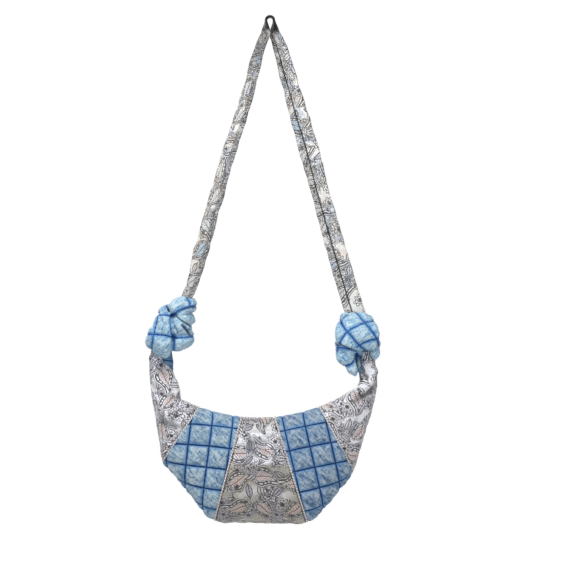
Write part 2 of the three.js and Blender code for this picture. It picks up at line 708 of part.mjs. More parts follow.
function strapRings(stations, grow) {
  return stations.map(({ centre, turn, heading }, i) => {
    const before = stations[Math.max(i - 1, 0)].centre;
    const after = stations[Math.min(i + 1, stations.length - 1)].centre;
    const along = heading ?? after.clone().sub(before).normalize();
    const across = new THREE.Vector3(0, 1, 0).applyAxisAngle(along, radians(turn));
    const up = new THREE.Vector3().crossVectors(along, across);
    return BAND_SECTION.map(([w, t]) =>
      centre
        .clone()
        .addScaledVector(across, w * (STRAP_WIDTH / 2 + grow))
        .addScaledVector(up, t * (STRAP_THICKNESS / 2 + grow)),
    );
  });
}

const POCKET_STATIONS = 8; // how many of the strap's rings lie in a knot
const LEFT_STATIONS = legStations(LEFT_LEG, LEG_STEPS);
const RIGHT_STATIONS = legStations(RIGHT_LEG, LEG_STEPS);
const STRAP_STATIONS = [...LEFT_STATIONS, ...hookArc(), ...RIGHT_STATIONS];

function strap() {
  return loft(strapRings(STRAP_STATIONS, 0));
}

// The pocket in a knot that holds one end of the strap
function strapPocket(fromStart) {
  const all = strapRings(STRAP_STATIONS, FIT_GAP);
  const centres = STRAP_STATIONS.map(({ centre }) => centre);
  if (!fromStart) {
    all.reverse();
    centres.reverse();
  }
  const rings = all.slice(0, POCKET_STATIONS);
  const inward = centres[0].clone().sub(centres[1]).setLength(FIT_GAP);
  rings.unshift(rings[0].map((p) => p.clone().add(inward)));
  return solid(loft(rings));
}

// A roll of the quilted tube, laid round a middle so that its face looks away from it. Its
// width changes along its path by the shares, and both its ends are rounded.
const END_ROUNDING = [0.45, 0.82];
function roll(path, width, thickness, shares, middle = [0, 0, 0]) {
  const route = new THREE.CatmullRomCurve3(path.map((p) => new THREE.Vector3(...p)));
  const steps = RINGS_PER_POINT * path.length;
  const rings = range(0, 1, steps).map((at, i) => {
    const centre = route.getPoint(at);
    const along = route.getTangent(at);
    const out = centre.clone().sub(new THREE.Vector3(...middle));
    out.addScaledVector(along, -out.dot(along)).normalize();
    const across = new THREE.Vector3().crossVectors(along, out);
    const rounding = END_ROUNDING[Math.min(i, steps - i)] ?? 1;
    const spot = at * (shares.length - 1);
    const before = Math.min(Math.floor(spot), shares.length - 2);
    const spread = THREE.MathUtils.lerp(shares[before], shares[before + 1], spot - before);
    return range(0, 2 * Math.PI, ROLL_SIDES)
      .slice(1)
      .map((turn) => {
        const side = Math.sign(Math.cos(turn)) * Math.abs(Math.cos(turn)) ** CROWN;
        const face = Math.sign(Math.sin(turn)) * Math.abs(Math.sin(turn)) ** CROWN;
        return centre
          .clone()
          .addScaledVector(across, (side * width * spread * rounding) / 2)
          .addScaledVector(out, (face * thickness * Math.sqrt(spread) * rounding) / 2);
      });
  });
  return solid(loft(rings));
}

function ball(centre, radii) {
  const sphere = new THREE.SphereGeometry(1, BALL_SIDES, BALL_ROWS);
  return solid(sphere.scale(...radii).translate(...centre));
}

// A knot's rolls, with their points counted from its middle, as one body in its place
function knot([x, height], parts, pocket, foldedNeck) {
  const body = parts.reduce((whole, part) => whole.add(part)).translate([x, 0, FOLD_Z + height]);
  return geometryOf(body.subtract(pocket).subtract(foldedNeck));
}

// Left knot: the wrap falls down its left side from a tuck, a band goes over its upper right
// corner to the back, and three folds lie below the band
function leftKnot() {
  const wrap = [
    [-10.5, -14, 27],
    [-12.5, -22, 13],
    [-13.5, -26, -2],
    [-19, -24, -17],
    [-19, -15, -28],
    [-19, 0, -36.5],
  ];
  const band = [
    [-3, -20, 25],
    [9, -20, 32],
    [22, -13, 37],
    [28, 0, 36],
    [26, 16, 28],
  ];
  const upperFold = [
    [4, -23, 19],
    [15, -19, 18],
    [22, -3, 18],
    [20, 13, 16],
  ];
  const middleFold = [
    [5, -25, 12],
    [14, -22, 4],
    [21, -14, -4],
    [22, 0, -7],
  ];
  const lowerFold = [
    [23, 12, -12],
    [24.5, -3, -15],
    [18, -15, -19],
    [6, -19, -24],
    [-5, -12, -30],
  ];
  const tuck = [
    [-17, 4, 22],
    [-14, -8, 27],
    [-8, -12, 29],
    [-1, -9, 30],
  ];
  const back = [
    [-17, 14, -20],
    [-3, 25, -2],
    [14, 20, 17],
  ];
  const parts = [
    ball([1, 0, -2], [28, 26, 34]),
    ball([-16, 0, -40], [20, 20, 13]),
    roll(wrap, LEFT_WRAP_WIDTH, WRAP_THICKNESS, [0.48, 0.64, 0.82, 1, 0.98, 0.9]),
    roll(band, BAND_WIDTH, WRAP_THICKNESS, [0.9, 1, 0.9, 0.7, 0.5]),
    roll(upperFold, UPPER_FOLD_WIDTH, FOLD_THICKNESS, [0.5, 0.9, 1, 0.9]),
    roll(middleFold, MIDDLE_FOLD_WIDTH, MIDDLE_FOLD_THICKNESS, [0.5, 0.9, 1, 1]),
    roll(lowerFold, LOWER_FOLD_WIDTH, FOLD_THICKNESS, [0.8, 1, 1, 0.9, 0.7]),
    roll(tuck, LEFT_TUCK_WIDTH, LEFT_TUCK_THICKNESS, [1, 1]),
    roll(back, BACK_WIDTH, FOLD_THICKNESS, [1, 1]),
  ];
  return knot(LEFT_KNOT, parts, strapPocket(true), foldSpace(0));
}

// Right knot: one broad wrap over the front, a pointed lobe under it and a tuck at its right
function rightKnot() {
  const wrap = [
    [-2, 18, 12],
    [-2, 2, 18],
    [-2, -18, 13],
    [-1, -28, 1],
    [2, -25, -13],
    [4, -9, -19],
  ];
  const lobe = [
    [-18, -8, -8],
    [-19, -15, -20],
    [-16.5, -17, -33],
    [-9.5, -14, -48],
    [-2.5, -9, -63],
  ];
  const behindLobe = [-9, 45, -26];
  const tuck = [
    [24, 12, -8],
    [28, 0, -18],
    [27, -10, -27],
    [25, -14, -38],
  ];
  const back = [
    [16, 15, -18],
    [3, 24, 0],
    [-9, 18, 18],
  ];
  const parts = [
    ball([0, 0, 0], [30, 28, 34]),
    ball([15, 0, -32], [17, 20, 13]),
    roll(wrap, RIGHT_WRAP_WIDTH, WRAP_THICKNESS, [0.72, 0.82, 0.88, 0.94, 0.98, 0.92]),
    roll(lobe, LOBE_WIDTH, FOLD_THICKNESS, [0.9, 0.95, 0.88, 0.58, 0.14], behindLobe),
    roll(tuck, RIGHT_TUCK_WIDTH, RIGHT_TUCK_THICKNESS, [0.8, 1, 0.8, 0.4]),
    roll(back, BACK_WIDTH, FOLD_THICKNESS, [1, 1]),
  ];
  return knot(RIGHT_KNOT, parts, strapPocket(false), foldSpace(LAST));
}

const group = new THREE.Group();

function add(name, geometry, material, parent = group) {
  const mesh = new THREE.Mesh(geometry, material);
  mesh.name = name;
  parent.add(mesh);
  return mesh;
}

add("strap", strap(), satin);
add("left_knot", leftKnot(), denim);
add("right_knot", rightKnot(), denim);

const WIDE_PANEL_STEPS = 6;
const NARROW_PANEL_STEPS = 5;
for (const [view, side] of [["front", -1], ["back", 1]]) {
  const { leftWing, leftCentre, rightCentre, rightWing } = SEAMS;
  const quilted = (from, to) => panel(from, to, NARROW_PANEL_STEPS, QUILT_THICKNESS, side);
  const centre = panel(leftCentre, rightCentre, WIDE_PANEL_STEPS, JACQUARD_THICKNESS, side);
  add(`${view}_left_wing`, wing(0, leftWing, side), jacquard);
  add(`${view}_left_quilted_panel`, quilted(leftWing, leftCentre), denim);
  add(`${view}_centre_panel`, centre, jacquard);
  add(`${view}_right_quilted_panel`, quilted(rightCentre, rightWing), denim);
  add(`${view}_right_wing`, wing(rightWing, LAST, side), jacquard);
  add(`${view}_lining`, lining(side), liningCloth);
  add(`zip_tape_${view}`, zipTape(side), tapeCloth);
  add(`zip_teeth_${view}`, zipTeeth(side), nickel);
  add(`zip_top_stop_${view}`, topStop(side), nickel);
}

add("left_neck_facing", neckFacing(0, LEFT_CORNER), denim);
add("right_neck_facing", neckFacing(LAST, RIGHT_CORNER), denim);
add("left_neck_roll", neckRoll(0, 1), denim);
add("right_neck_roll", neckRoll(LAST, -1), denim);
add("zip_bottom_stop", bottomStop(), nickel);
add("zip_left_tab", endTab(ZIP_START - TAB_DEGREES, ZIP_START - GAP_DEGREES), jacquard);
add("zip_right_tab", endTab(ZIP_END + GAP_DEGREES, ZIP_END + TAB_DEGREES), jacquard);

// The slider stands at the closed end, turned to the chain there; the pull lies back on it
const sliderPlace = new THREE.Group();
sliderPlace.position.copy(mouthPoint(SLIDER_PARK, 0, CHAIN_DEPTH));
sliderPlace.rotation.y = -radians(SLIDER_PARK);
group.add(sliderPlace);
add("zip_slider", zipSlider(), nickel, sliderPlace);
add("zip_pull", zipPull(), nickel, sliderPlace).position.z = BAR_HEIGHT;

export default group;
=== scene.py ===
# %% [markdown]
# A knot shoulder bag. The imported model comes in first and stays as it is. Its soft solids
# are plain, so each is replaced here by a cloth piece in the same place, and its hard
# pieces get their finish. Sizes are in millimetres until a mesh is made.

# %% Load the frame
import math

import bmesh
import bpy
import numpy as np
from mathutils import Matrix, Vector
from mathutils.bvhtree import BVHTree
from mathutils.kdtree import KDTree


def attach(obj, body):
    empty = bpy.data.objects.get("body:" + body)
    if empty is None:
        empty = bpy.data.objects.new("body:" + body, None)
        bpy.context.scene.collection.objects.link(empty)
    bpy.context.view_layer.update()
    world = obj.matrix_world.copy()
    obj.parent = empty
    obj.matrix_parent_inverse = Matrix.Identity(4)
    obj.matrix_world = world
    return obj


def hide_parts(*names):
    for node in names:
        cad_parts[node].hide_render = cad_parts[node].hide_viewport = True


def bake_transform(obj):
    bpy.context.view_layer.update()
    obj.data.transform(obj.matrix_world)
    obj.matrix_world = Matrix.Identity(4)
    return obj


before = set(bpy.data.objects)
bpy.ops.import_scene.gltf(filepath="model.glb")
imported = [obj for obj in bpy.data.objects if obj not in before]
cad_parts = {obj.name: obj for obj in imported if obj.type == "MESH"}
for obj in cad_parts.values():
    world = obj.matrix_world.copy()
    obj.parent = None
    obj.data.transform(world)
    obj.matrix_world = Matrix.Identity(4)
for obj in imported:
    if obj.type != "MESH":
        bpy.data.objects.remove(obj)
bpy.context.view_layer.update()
MM = 0.001

# %% [markdown]
# The photograph looks at the bag from straight in front. A long lens far away gives that
# flat view, and the picture's scale of 1.5 mm to a pixel gives the width that it takes in.

# %% Camera
PHOTO_SIDE = 583
PIXEL = 1.5
HOOK_PIXEL = (270, 18)
CAMERA_DISTANCE = 6.0
SENSOR = 36.0

view_width = PHOTO_SIDE * PIXEL * MM
view_x = (PHOTO_SIDE / 2 - HOOK_PIXEL[0]) * PIXEL * MM
view_z = (HOOK_PIXEL[1] - PHOTO_SIDE / 2) * PIXEL * MM
bpy.ops.object.camera_add(
    location=(view_x, -CAMERA_DISTANCE, view_z),
    rotation=(math.radians(90), 0, 0),
)
camera = bpy.context.object
camera.name = "photo_camera"
camera.data.sensor_width = SENSOR
camera.data.lens = SENSOR * CAMERA_DISTANCE / view_width
camera.data.clip_end = 60
bpy.context.scene.camera = camera
print("camera lens:", round(camera.data.lens, 1), "mm")

# %% [markdown]
# Shader maths is easier to read as Python. A Value wraps a socket that holds a number, and
# each operator adds one Math node, so a mask reads like a sum on paper.

# %% Numbers in shaders
MATHS = {
    "__add__": "ADD",
    "__sub__": "SUBTRACT",
    "__mul__": "MULTIPLY",
    "__truediv__": "DIVIDE",
    "min": "MINIMUM",
    "max": "MAXIMUM",
    "modulo": "FLOORED_MODULO",
}
ALONE = {"sin": "SINE", "cos": "COSINE", "root": "SQRT", "size": "ABSOLUTE", "fraction": "FRACT"}


class Value:
    """A number from a node's socket."""

    def __init__(self, nodes, socket):
        self.nodes = nodes
        self.socket = socket

    def maths(self, operation, *values):
        node = self.nodes.node("ShaderNodeMath", {"operation": operation}, *values)
        return Value(self.nodes, node.outputs[0])

    def __radd__(self, other):
        return self + other

    def __rmul__(self, other):
        return self * other

    def __rsub__(self, other):
        return self.maths("SUBTRACT", other, self)

    def clip(self):
        return self.max(0.0).min(1.0)

    def step(self, low, high):
        """0 below low, 1 above high, and a smooth rise between."""
        settings = {"interpolation_type": "SMOOTHSTEP"}
        node = self.nodes.node("ShaderNodeMapRange", settings, self, low, high)
        return Value(self.nodes, node.outputs[0])

    def line(self, at, width):
        """A stroke of a width where the value is at a level."""
        return 1.0 - (self - at).size().step(0.3 * width, 0.7 * width)


def two_numbers(operation):
    return lambda self, other: self.maths(operation, self, other)


def one_number(operation):
    return lambda self: self.maths(operation, self)


for name, operation in MATHS.items():
    setattr(Value, name, two_numbers(operation))
for name, operation in ALONE.items():
    setattr(Value, name, one_number(operation))
print("operations on shader values:", sorted([*MATHS.values(), *ALONE.values()]))

# %% [markdown]
# Every node comes from one method, which takes the node's type, its settings and what its
# sockets get. A material and the world around the bag are both built with it.

# %% Nodes
class Nodes:
    """A node tree being built round the shader that it starts with."""

    def __init__(self, owner, shader):
        owner.use_nodes = True
        self.tree = owner.node_tree
        self.shader = self.tree.nodes[shader]

    def put(self, socket, value):
        if isinstance(value, Value):
            value = value.socket
        if isinstance(value, bpy.types.NodeSocket):
            self.tree.links.new(value, socket)
        else:
            socket.default_value = value

    def node(self, kind, settings=None, *inputs, **named):
        """A node of a kind, with its settings, and values or links for its sockets in order."""
        node = self.tree.nodes.new(kind)
        for key, value in (settings or {}).items():
            if key == "stops":
                while len(node.color_ramp.elements) < len(value):
                    node.color_ramp.elements.new(0.5)
                for element, (place, colour) in zip(node.color_ramp.elements, value):
                    element.position = place
                    element.color = (*colour, 1)
            else:
                setattr(node, key, value)
        for socket, value in zip(node.inputs, inputs):
            if value is not None:
                self.put(socket, value)
        for key, value in named.items():
            self.put(node.inputs[key.replace("_", " ")], value)
        return node

    def value(self, node, output=0):
        return Value(self, node.outputs[output])

    def set(self, **named):
        """Values or links for the shader's own sockets."""
        for key, value in named.items():
            self.put(self.shader.inputs[key.replace("_", " ")], value)


# %% [markdown]
# A finish is one material. Its cloth coordinates come from the piece's own UV map, which
# holds where each point lies on the flat cloth, so a weave keeps its size on every piece.

# %% Finishes
UV_UNIT = 100.0  # millimetres of cloth to one unit of its UV map


class Finish(Nodes):
    """A material being built."""

    def __init__(self, name):
        self.material = bpy.data.materials.new(name)
        super().__init__(self.material, "Principled BSDF")

    def vector(self, operation, *inputs, **named):
        """The result of a Vector Math node."""
        return self.node("ShaderNodeVectorMath", {"operation": operation}, *inputs, **named).outputs[0]

    def cloth_place(self):
        """The cloth's own flat coordinates, in millimetres."""
        uv = self.node("ShaderNodeUVMap", {"uv_map": "cloth"})
        return self.vector("SCALE", uv.outputs[0], Scale=UV_UNIT)

    def object_place(self):
        return self.node("ShaderNodeTexCoord").outputs["Object"]

    def stored(self, name):
        """A number that the piece's points carry."""
        return self.value(self.node("ShaderNodeAttribute", {"attribute_name": name}), "Fac")

    def parts(self, place):
        node = self.node("ShaderNodeSeparateXYZ", None, place)
        return self.value(node, 0), self.value(node, 1)

    def noise(self, place, size, detail=2.0, roughness=0.5, stretch=None):
        """Cloudy noise of a size, drawn out along a turn where stretch gives turn and share."""
        if stretch:
            turn, share = stretch
            turned = {"vector_type": "TEXTURE"}  # turns first and squeezes then
            mapping = self.node("ShaderNodeMapping", turned, place, None, (0, 0, turn), (1, 1 / share, 1))
            place = mapping.outputs[0]
        sockets = {"Scale": 1 / size, "Detail": detail, "Roughness": roughness}
        return self.value(self.node("ShaderNodeTexNoise", None, place, **sockets))

    def warped(self, place, size, reach):
        """A place moved unevenly, so that what is drawn there is never quite regular."""
        noise = self.node("ShaderNodeTexNoise", None, place, Scale=1 / size, Detail=1.0)
        move = self.vector("SUBTRACT", noise.outputs["Color"], (0.5,) * 3)
        return self.vector("ADD", place, self.vector("SCALE", move, Scale=2 * reach))

    def mix(self, share, first, second):
        """One colour painted over another where share is 1."""
        node = self.node("ShaderNodeMix", {"data_type": "RGBA", "clamp_factor": True})
        self.put(node.inputs["Factor"], share)
        for socket, colour in zip([s for s in node.inputs if s.type == "RGBA"], (first, second)):
            self.put(socket, (*colour, 1) if isinstance(colour, tuple) else colour)
        return [s for s in node.outputs if s.type == "RGBA"][0]

    def bump(self, height, distance, strength):
        """A normal from a height, for which distance is in millimetres."""
        sockets = {"Height": height, "Distance": distance * MM, "Strength": strength}
        return self.node("ShaderNodeBump", **sockets).outputs[0]


def linear(red, green, blue):
    """A colour as the eye reads it, from 0 to 255, in the linear values that shaders take."""
    return tuple(
        v / 255 / 12.92 if v < 10 else ((v / 255 + 0.055) / 1.055) ** 2.4 for v in (red, green, blue)
    )


def shades(*colours):
    return [linear(*colour) for colour in colours]


print("middle grey as shaders take it:", linear(128, 128, 128))

# %% [markdown]
# The bag's shell is a row of cross sections round a crescent. Each station has a point on
# the mouth, a point on the lower edge and half a depth. The numbers are those of the solid
# model, so that the cloth lies where the solids are.

# %% The crescent's stations
MOUTH_CENTRE = (-16.6, -343.0)
MOUTH_RADIUS = 256.4
LIP_HALF_WIDTH = 7.0
LIP_RADIUS = 5.0
HEM_DEPTH = 7.8
FOLD_Z = -517.0
SEAM_HALF_GAP = 0.15


def mouth(degrees, depth=0.0):
    turn = math.radians(degrees)
    reach = MOUTH_RADIUS + depth
    return (MOUTH_CENTRE[0] + reach * math.sin(turn), MOUTH_CENTRE[1] - reach * math.cos(turn))


STATIONS = [
    ((-145, FOLD_Z), (-181, FOLD_Z), 9),
    ((-145, -527), (-180.4, -528), 9.2),
    ((-146, -538), (-179.8, -541), 10),
    ((-140.5, -549), (-178.8, -556), 12),
    ((-136, -560), (-176.6, -573), 15),
    (mouth(-27.3), (-172.5, -593), 19),
    (mouth(-25.3), (-169, -612), 23),
    (mouth(-23), (-165.5, -638), 28),
    (mouth(-20.5), (-161, -664.5), 33),
    (mouth(-15.6), (-142, -686), 37),
    (mouth(-10.7), (-119, -715), 40),
    (mouth(-5.8), (-83.4, -753.5), 42),
    (mouth(-2.1), (-37, -757), 43),
    (mouth(1.6), (10, -758), 43),
    (mouth(5.3), (56.1, -756), 42),
    (mouth(10.5), (87, -728), 40),
    (mouth(15.6), (108, -702), 37),
    (mouth(20.8), (125.5, -678), 33),
    (mouth(25), (136.5, -643), 28),
    (mouth(29.2), (146, -608.5), 24),
    (mouth(33), (154, -583), 20),
    (mouth(35.2), (158.3, -566), 16),
    ((134.3, -543), (160.3, -551), 12.5),
    ((133, -531), (160, -534), 10),
    ((132.3, FOLD_Z), (158, FOLD_Z), 9),
]
LAST = len(STATIONS) - 1
LEFT_CORNER = 5
RIGHT_CORNER = 21
SEAM_STATIONS = {"left_wing": 8, "left_centre": 11, "right_centre": 14, "right_wing": 17}


def spline(points, shares):
    """A smooth curve through points, at shares of its row of points."""
    p = np.asarray(points, float)
    p = np.vstack([2 * p[0] - p[1], p, 2 * p[-1] - p[-2]])
    place = np.clip(np.asarray(shares, float), 0, 1) * (len(p) - 3)
    i = np.minimum(place.astype(int), len(p) - 4)
    w = (place - i)[:, None]
    a, b, c, d = p[i], p[i + 1], p[i + 2], p[i + 3]
    ab, bc, cd = (
        np.maximum(((v - u) ** 2).sum(1), 1e-12)[:, None] ** 0.25 for u, v in ((a, b), (b, c), (c, d))
    )
    leave = bc * ((b - a) / ab - (c - a) / (ab + bc) + (c - b) / bc)
    arrive = bc * ((c - b) / bc - (d - b) / (bc + cd) + (d - c) / cd)
    square = (3 * (c - b) - 2 * leave - arrive) * w**2
    return b + leave * w + square + (2 * (b - c) + leave + arrive) * w**3


print(len(STATIONS), "stations, with the mouth from", LEFT_CORNER, "to", RIGHT_CORNER)

# %% [markdown]
# Half a cross section runs from the lower edge over the belly and the shoulder to the
# mouth, where the cloth rolls over a lip and goes down as a hem. It is sampled finely and
# then measured out evenly, so that the weave and the quilting keep one scale all over.

# %% A cross section
BELLY_END = 0.4
CREST = 0.72
HEM_START = 0.94
WIDEST = -0.12
BELLY_POWER = 2.3
SHOULDER_POWER = 2.1
FINE = 500
NECK_STEP = 24.0  # how far a whole station past the last one goes up into the knot
NECK_TAPER = 0.18
QUARTER = math.pi / 2


def openness(station):
    """0 in the closed necks, 1 along the mouth, rising over one station from its corners."""
    return min(max(min(station - LEFT_CORNER, RIGHT_CORNER - station), 0), 1)


def section(half, depth, opened):
    """Along and out of the middle plane, for FINE values of t from 0 to 1."""
    t = np.linspace(0, 1, FINE)
    waist = WIDEST * half
    radius = LIP_RADIUS * max(opened, 0.02)
    lip_out = SEAM_HALF_GAP + (LIP_HALF_WIDTH - SEAM_HALF_GAP) * opened
    crest_out = lip_out + radius
    belly = QUARTER * np.clip(t / BELLY_END, 0, 1)
    shoulder = QUARTER * np.clip((t - BELLY_END) / (CREST - BELLY_END), 0, 1)
    lip = QUARTER * np.clip((t - CREST) / (HEM_START - CREST), 0, 1)
    drop = opened * (HEM_DEPTH - LIP_RADIUS) * np.clip((t - HEM_START) / (1 - HEM_START), 0, 1)
    power = 2 / BELLY_POWER
    along = waist - (half + waist) * np.clip(np.cos(belly), 0, 1) ** power
    out = SEAM_HALF_GAP + (depth - SEAM_HALF_GAP) * np.sin(belly) ** power
    power = 2 / SHOULDER_POWER
    over = t > BELLY_END
    along[over] = (waist + (half - waist) * np.sin(shoulder) ** power)[over]
    out[over] = (crest_out + (depth - crest_out) * np.clip(np.cos(shoulder), 0, 1) ** power)[over]
    rolled = t > CREST
    along[rolled] = (half - radius + radius * np.cos(lip) - drop)[rolled]
    out[rolled] = (lip_out + radius * (1 - np.sin(lip)))[rolled]
    return t, along, out


def ends_of(station):
    """Inner point, outer point and half depth at a station, and how far it is up in the knot."""
    at = [min(max(station, 0), LAST) / LAST]
    inner = spline([s[0] for s in STATIONS], at)[0]
    outer = spline([s[1] for s in STATIONS], at)[0]
    depth = spline([(i, s[2]) for i, s in enumerate(STATIONS)], at)[0][1]
    past = max(-station, station - LAST, 0)
    if past:
        middle = (inner + outer) / 2
        narrowing = 1 - NECK_TAPER * past
        inner = middle + (inner - middle) * narrowing + (0, NECK_STEP * past)
        outer = middle + (outer - middle) * narrowing + (0, NECK_STEP * past)
        depth *= narrowing
    return inner, outer, depth


def line_at(station, t_start, t_end, count, side):
    """Points of one section, evenly spaced: in space, and where they lie on the flat cloth."""
    inner, outer, depth = ends_of(station)
    half = math.dist(inner, outer) / 2
    t, along, out = section(half, depth, openness(station))
    length = np.concatenate([[0], np.cumsum(np.hypot(np.diff(along), np.diff(out)))])
    crest = np.interp(CREST, t, length)
    wanted = np.linspace(np.interp(t_start, t, length), np.interp(t_end, t, length), count)
    along, out = (np.interp(wanted, length, values) for values in (along, out))
    direction = (inner - outer) / (2 * half)
    flat = inner - direction * (crest - wanted)[:, None]
    plane = (inner + outer) / 2 + direction * along[:, None]
    return np.column_stack([plane[:, 0], side * out, plane[:, 1]]), flat


print("across the middle, lower edge to lip:", line_at(12, 0, CREST, 5, -1)[0].round(1).tolist())

# %% [markdown]
# A panel is a grid of points, a row to a section. Its outer face gets its relief first.
# Then a Solidify modifier gives the cloth its thickness, on the inside.

# %% Grids of cloth
SPACING = 2.0
SAG_SHARE = 1.25  # a section is about this much longer than the straight line between its ends
SEAM_MARGIN = 0.012  # stations, or shares of a section, that a panel keeps off its seam


def panel_grid(start, end, side, t_end=None, rows=None, columns=None):
    """Points, flat places, and station and share of each point, between two stations."""
    lengths = [math.dist(*ends_of(s)[:2]) for s in (start, end)]
    span = max(math.dist(ends_of(start)[k], ends_of(end)[k]) for k in (0, 1))
    rows = rows or int(span / SPACING) + 2
    columns = columns or int((max(lengths) * SAG_SHARE + 20) / SPACING)
    points, flats, places = [], [], []
    for station in np.linspace(start, end, rows):
        last = t_end(station) if t_end else 1.0
        line, flat = line_at(station, 0, last, columns, side)
        points.append(line)
        flats.append(flat)
        places.append([(station, last * k / (columns - 1)) for k in range(columns)])
    return np.array(points), np.array(flats), np.array(places)


def unit(vectors):
    """Vectors brought to a length of 1."""
    return vectors / np.maximum(np.linalg.norm(vectors, axis=-1, keepdims=True), 1e-9)


def grid_normals(points, side):
    """Unit normals of a grid, pointing out of the bag."""
    down = np.gradient(points, axis=1)
    across = np.gradient(points, axis=0)
    return -side * unit(np.cross(across, down))


def grid_faces(rows, columns):
    index = np.arange(rows * columns).reshape(rows, columns)
    corners = (index[:-1, :-1], index[1:, :-1], index[1:, 1:], index[:-1, 1:])
    return np.stack(corners, axis=-1).reshape(-1, 4)


# %% [markdown]
# A grid becomes an object that carries its cloth coordinates. All pieces built from numbers
# go through these few helpers, so that each is closed, merged and turned outwards.

# %% From grids to pieces
def link(name, mesh):
    """A new object that is in the scene."""
    piece = bpy.data.objects.new(name, mesh)
    bpy.context.scene.collection.objects.link(piece)
    return piece


def make(name, points, faces, flats=None):
    """A mesh object, from millimetres, with its cloth coordinates if it has any."""
    mesh = bpy.data.meshes.new(name)
    places = (np.asarray(points).reshape(-1, 3) * MM).tolist()
    mesh.from_pydata(places, [], [list(face) for face in faces])
    if flats is not None:
        corners = np.zeros(len(mesh.loops), int)
        mesh.loops.foreach_get("vertex_index", corners)
        layer = mesh.uv_layers.new(name="cloth")
        layer.data.foreach_set("uv", (np.asarray(flats).reshape(-1, 2)[corners] / UV_UNIT).ravel())
    mesh.update()
    return link(name, mesh)


MERGE_REACH = 1e-6  # metres


def reworked(piece, merge=True, turn=True):
    """The piece, with points that lie together made one and its faces turned outwards."""
    work = bmesh.new()
    work.from_mesh(piece.data)
    if merge:
        bmesh.ops.remove_doubles(work, verts=work.verts, dist=MERGE_REACH)
    if turn:
        bmesh.ops.recalc_face_normals(work, faces=work.faces)
    work.to_mesh(piece.data)
    work.free()
    return piece


def apply(piece, kind, **settings):
    """Adds a modifier and applies it at once."""
    bpy.ops.object.select_all(action="DESELECT")
    bpy.context.view_layer.objects.active = piece
    piece.select_set(True)
    modifier = piece.modifiers.new(kind.title(), kind)
    for key, value in settings.items():
        setattr(modifier, key, value)
    bpy.ops.object.modifier_apply(modifier=modifier.name)
    piece.select_set(False)


def faces_out(sheet, points, side):
    """Whether the faces of a sheet made from a grid point out of the bag."""
    normals = np.zeros(len(sheet.data.polygons) * 3)
    sheet.data.polygons.foreach_get("normal", normals)
    return (normals.reshape(-1, 3) * grid_normals(points, side)[:-1, :-1].reshape(-1, 3)).sum() > 0


def cloth_piece(name, points, flats, thickness, side, folds=None):
    """A closed piece of cloth from the grid of its outer face."""
    faces = grid_faces(*points.shape[:2])
    piece = make(name, points, faces, flats)
    if not faces_out(piece, points, side):
        piece.data.flip_normals()
    if folds is not None:
        layer = piece.data.attributes.new("fold", "FLOAT", "POINT")
        layer.data.foreach_set("value", folds.ravel())
    apply(piece, "SOLIDIFY", thickness=thickness * MM, offset=-1, use_even_offset=False)
    piece.data.shade_smooth()
    return piece


# %% [markdown]
# Padded cloth swells between its stitch lines and puckers beside them. Blender's Cloth does
# that: the sheet is made a little slack, air pushes it out, and it is held along the lines
# and the seams. A cap keeps any point from moving too far.

# %% Billowing
BILLOW_FRAMES = 18
BILLOW_CLOTH = {
    "quality": 6,
    "mass": 0.02,
    "tension_stiffness": 12,
    "compression_stiffness": 12,
    "shear_stiffness": 4,
    "bending_stiffness": 0.05,
    "pin_stiffness": 3,
    "use_pressure": True,
}
HOLD_LEVELS = 20


def billow(points, hold, side, pressure, slack, most):
    """A grid of cloth blown out from the bag, held where hold is near 1."""
    rows, columns = points.shape[:2]
    sheet = make("billow", points, grid_faces(rows, columns))
    group = sheet.vertex_groups.new(name="held")
    levels = np.round(hold.ravel() * HOLD_LEVELS) / HOLD_LEVELS
    for level in np.unique(levels[levels > 0]):
        group.add(np.flatnonzero(levels == level).tolist(), float(level), "REPLACE")
    cloth = sheet.modifiers.new("Cloth", "CLOTH")
    cloth.point_cache.frame_start = 1
    cloth.point_cache.frame_end = BILLOW_FRAMES
    settings = cloth.settings
    for key, value in BILLOW_CLOTH.items():
        setattr(settings, key, value)
    settings.vertex_group_mass = "held"
    settings.shrink_min = settings.shrink_max = -slack
    settings.uniform_pressure_force = pressure if faces_out(sheet, points, side) else -pressure
    settings.effector_weights.gravity = 0
    cloth.collision_settings.use_collision = False
    scene = bpy.context.scene
    for step in range(1, BILLOW_FRAMES + 1):
        scene.frame_set(step)
    blown = sheet.evaluated_get(bpy.context.evaluated_depsgraph_get())
    moved = np.zeros(len(blown.data.vertices) * 3)
    blown.data.vertices.foreach_get("co", moved)
    moved = moved.reshape(points.shape) / MM - points
    bpy.data.objects.remove(sheet)
    scene.frame_set(1)
    size = np.linalg.norm(moved, axis=2, keepdims=True)
    moved *= np.minimum(1, most / np.maximum(size, 1e-9))
    return points + moved


# %% [markdown]
# Cloth never lies even. Waves of many lengths give it its small wrinkles. A Displace
# modifier could do this too, but it doesn't know which way the cloth runs.

# %% Ripples
def ripples(u, v, seed, across, along, count=7):
    """Uneven waves over a cloth, from -1 to 1: crests lie along v where along is longer."""
    chance = np.random.default_rng(seed)
    total = np.zeros(np.broadcast(u, v).shape)
    for _ in range(count):
        wave_u = across * chance.uniform(0.6, 1.8)
        wave_v = along * chance.uniform(0.6, 1.8)
        phase = chance.uniform(0, 2 * math.pi)
        bend = 0.8 * np.sin(v / along * chance.uniform(1, 2) + phase)
        total += np.sin(2 * math.pi * (u / wave_u + v / wave_v * chance.choice([-1, 1])) + phase + bend)
    return total / count**0.5 / 1.4


print("ripples every 20 mm:", ripples(np.arange(0, 100, 20), 0, 5, 9, 30).round(2))

# %% [markdown]
# The quilting is a square grid, sewn on the flat cloth before the panels were cut. The left
# panel was cut 7 degrees off it and the right one 13 degrees the other way.

# %% Quilting
QUILT_PITCH = 32.0
QUILTS = {"left": (-7, 17, -625), "right": (13, -116, -616)}


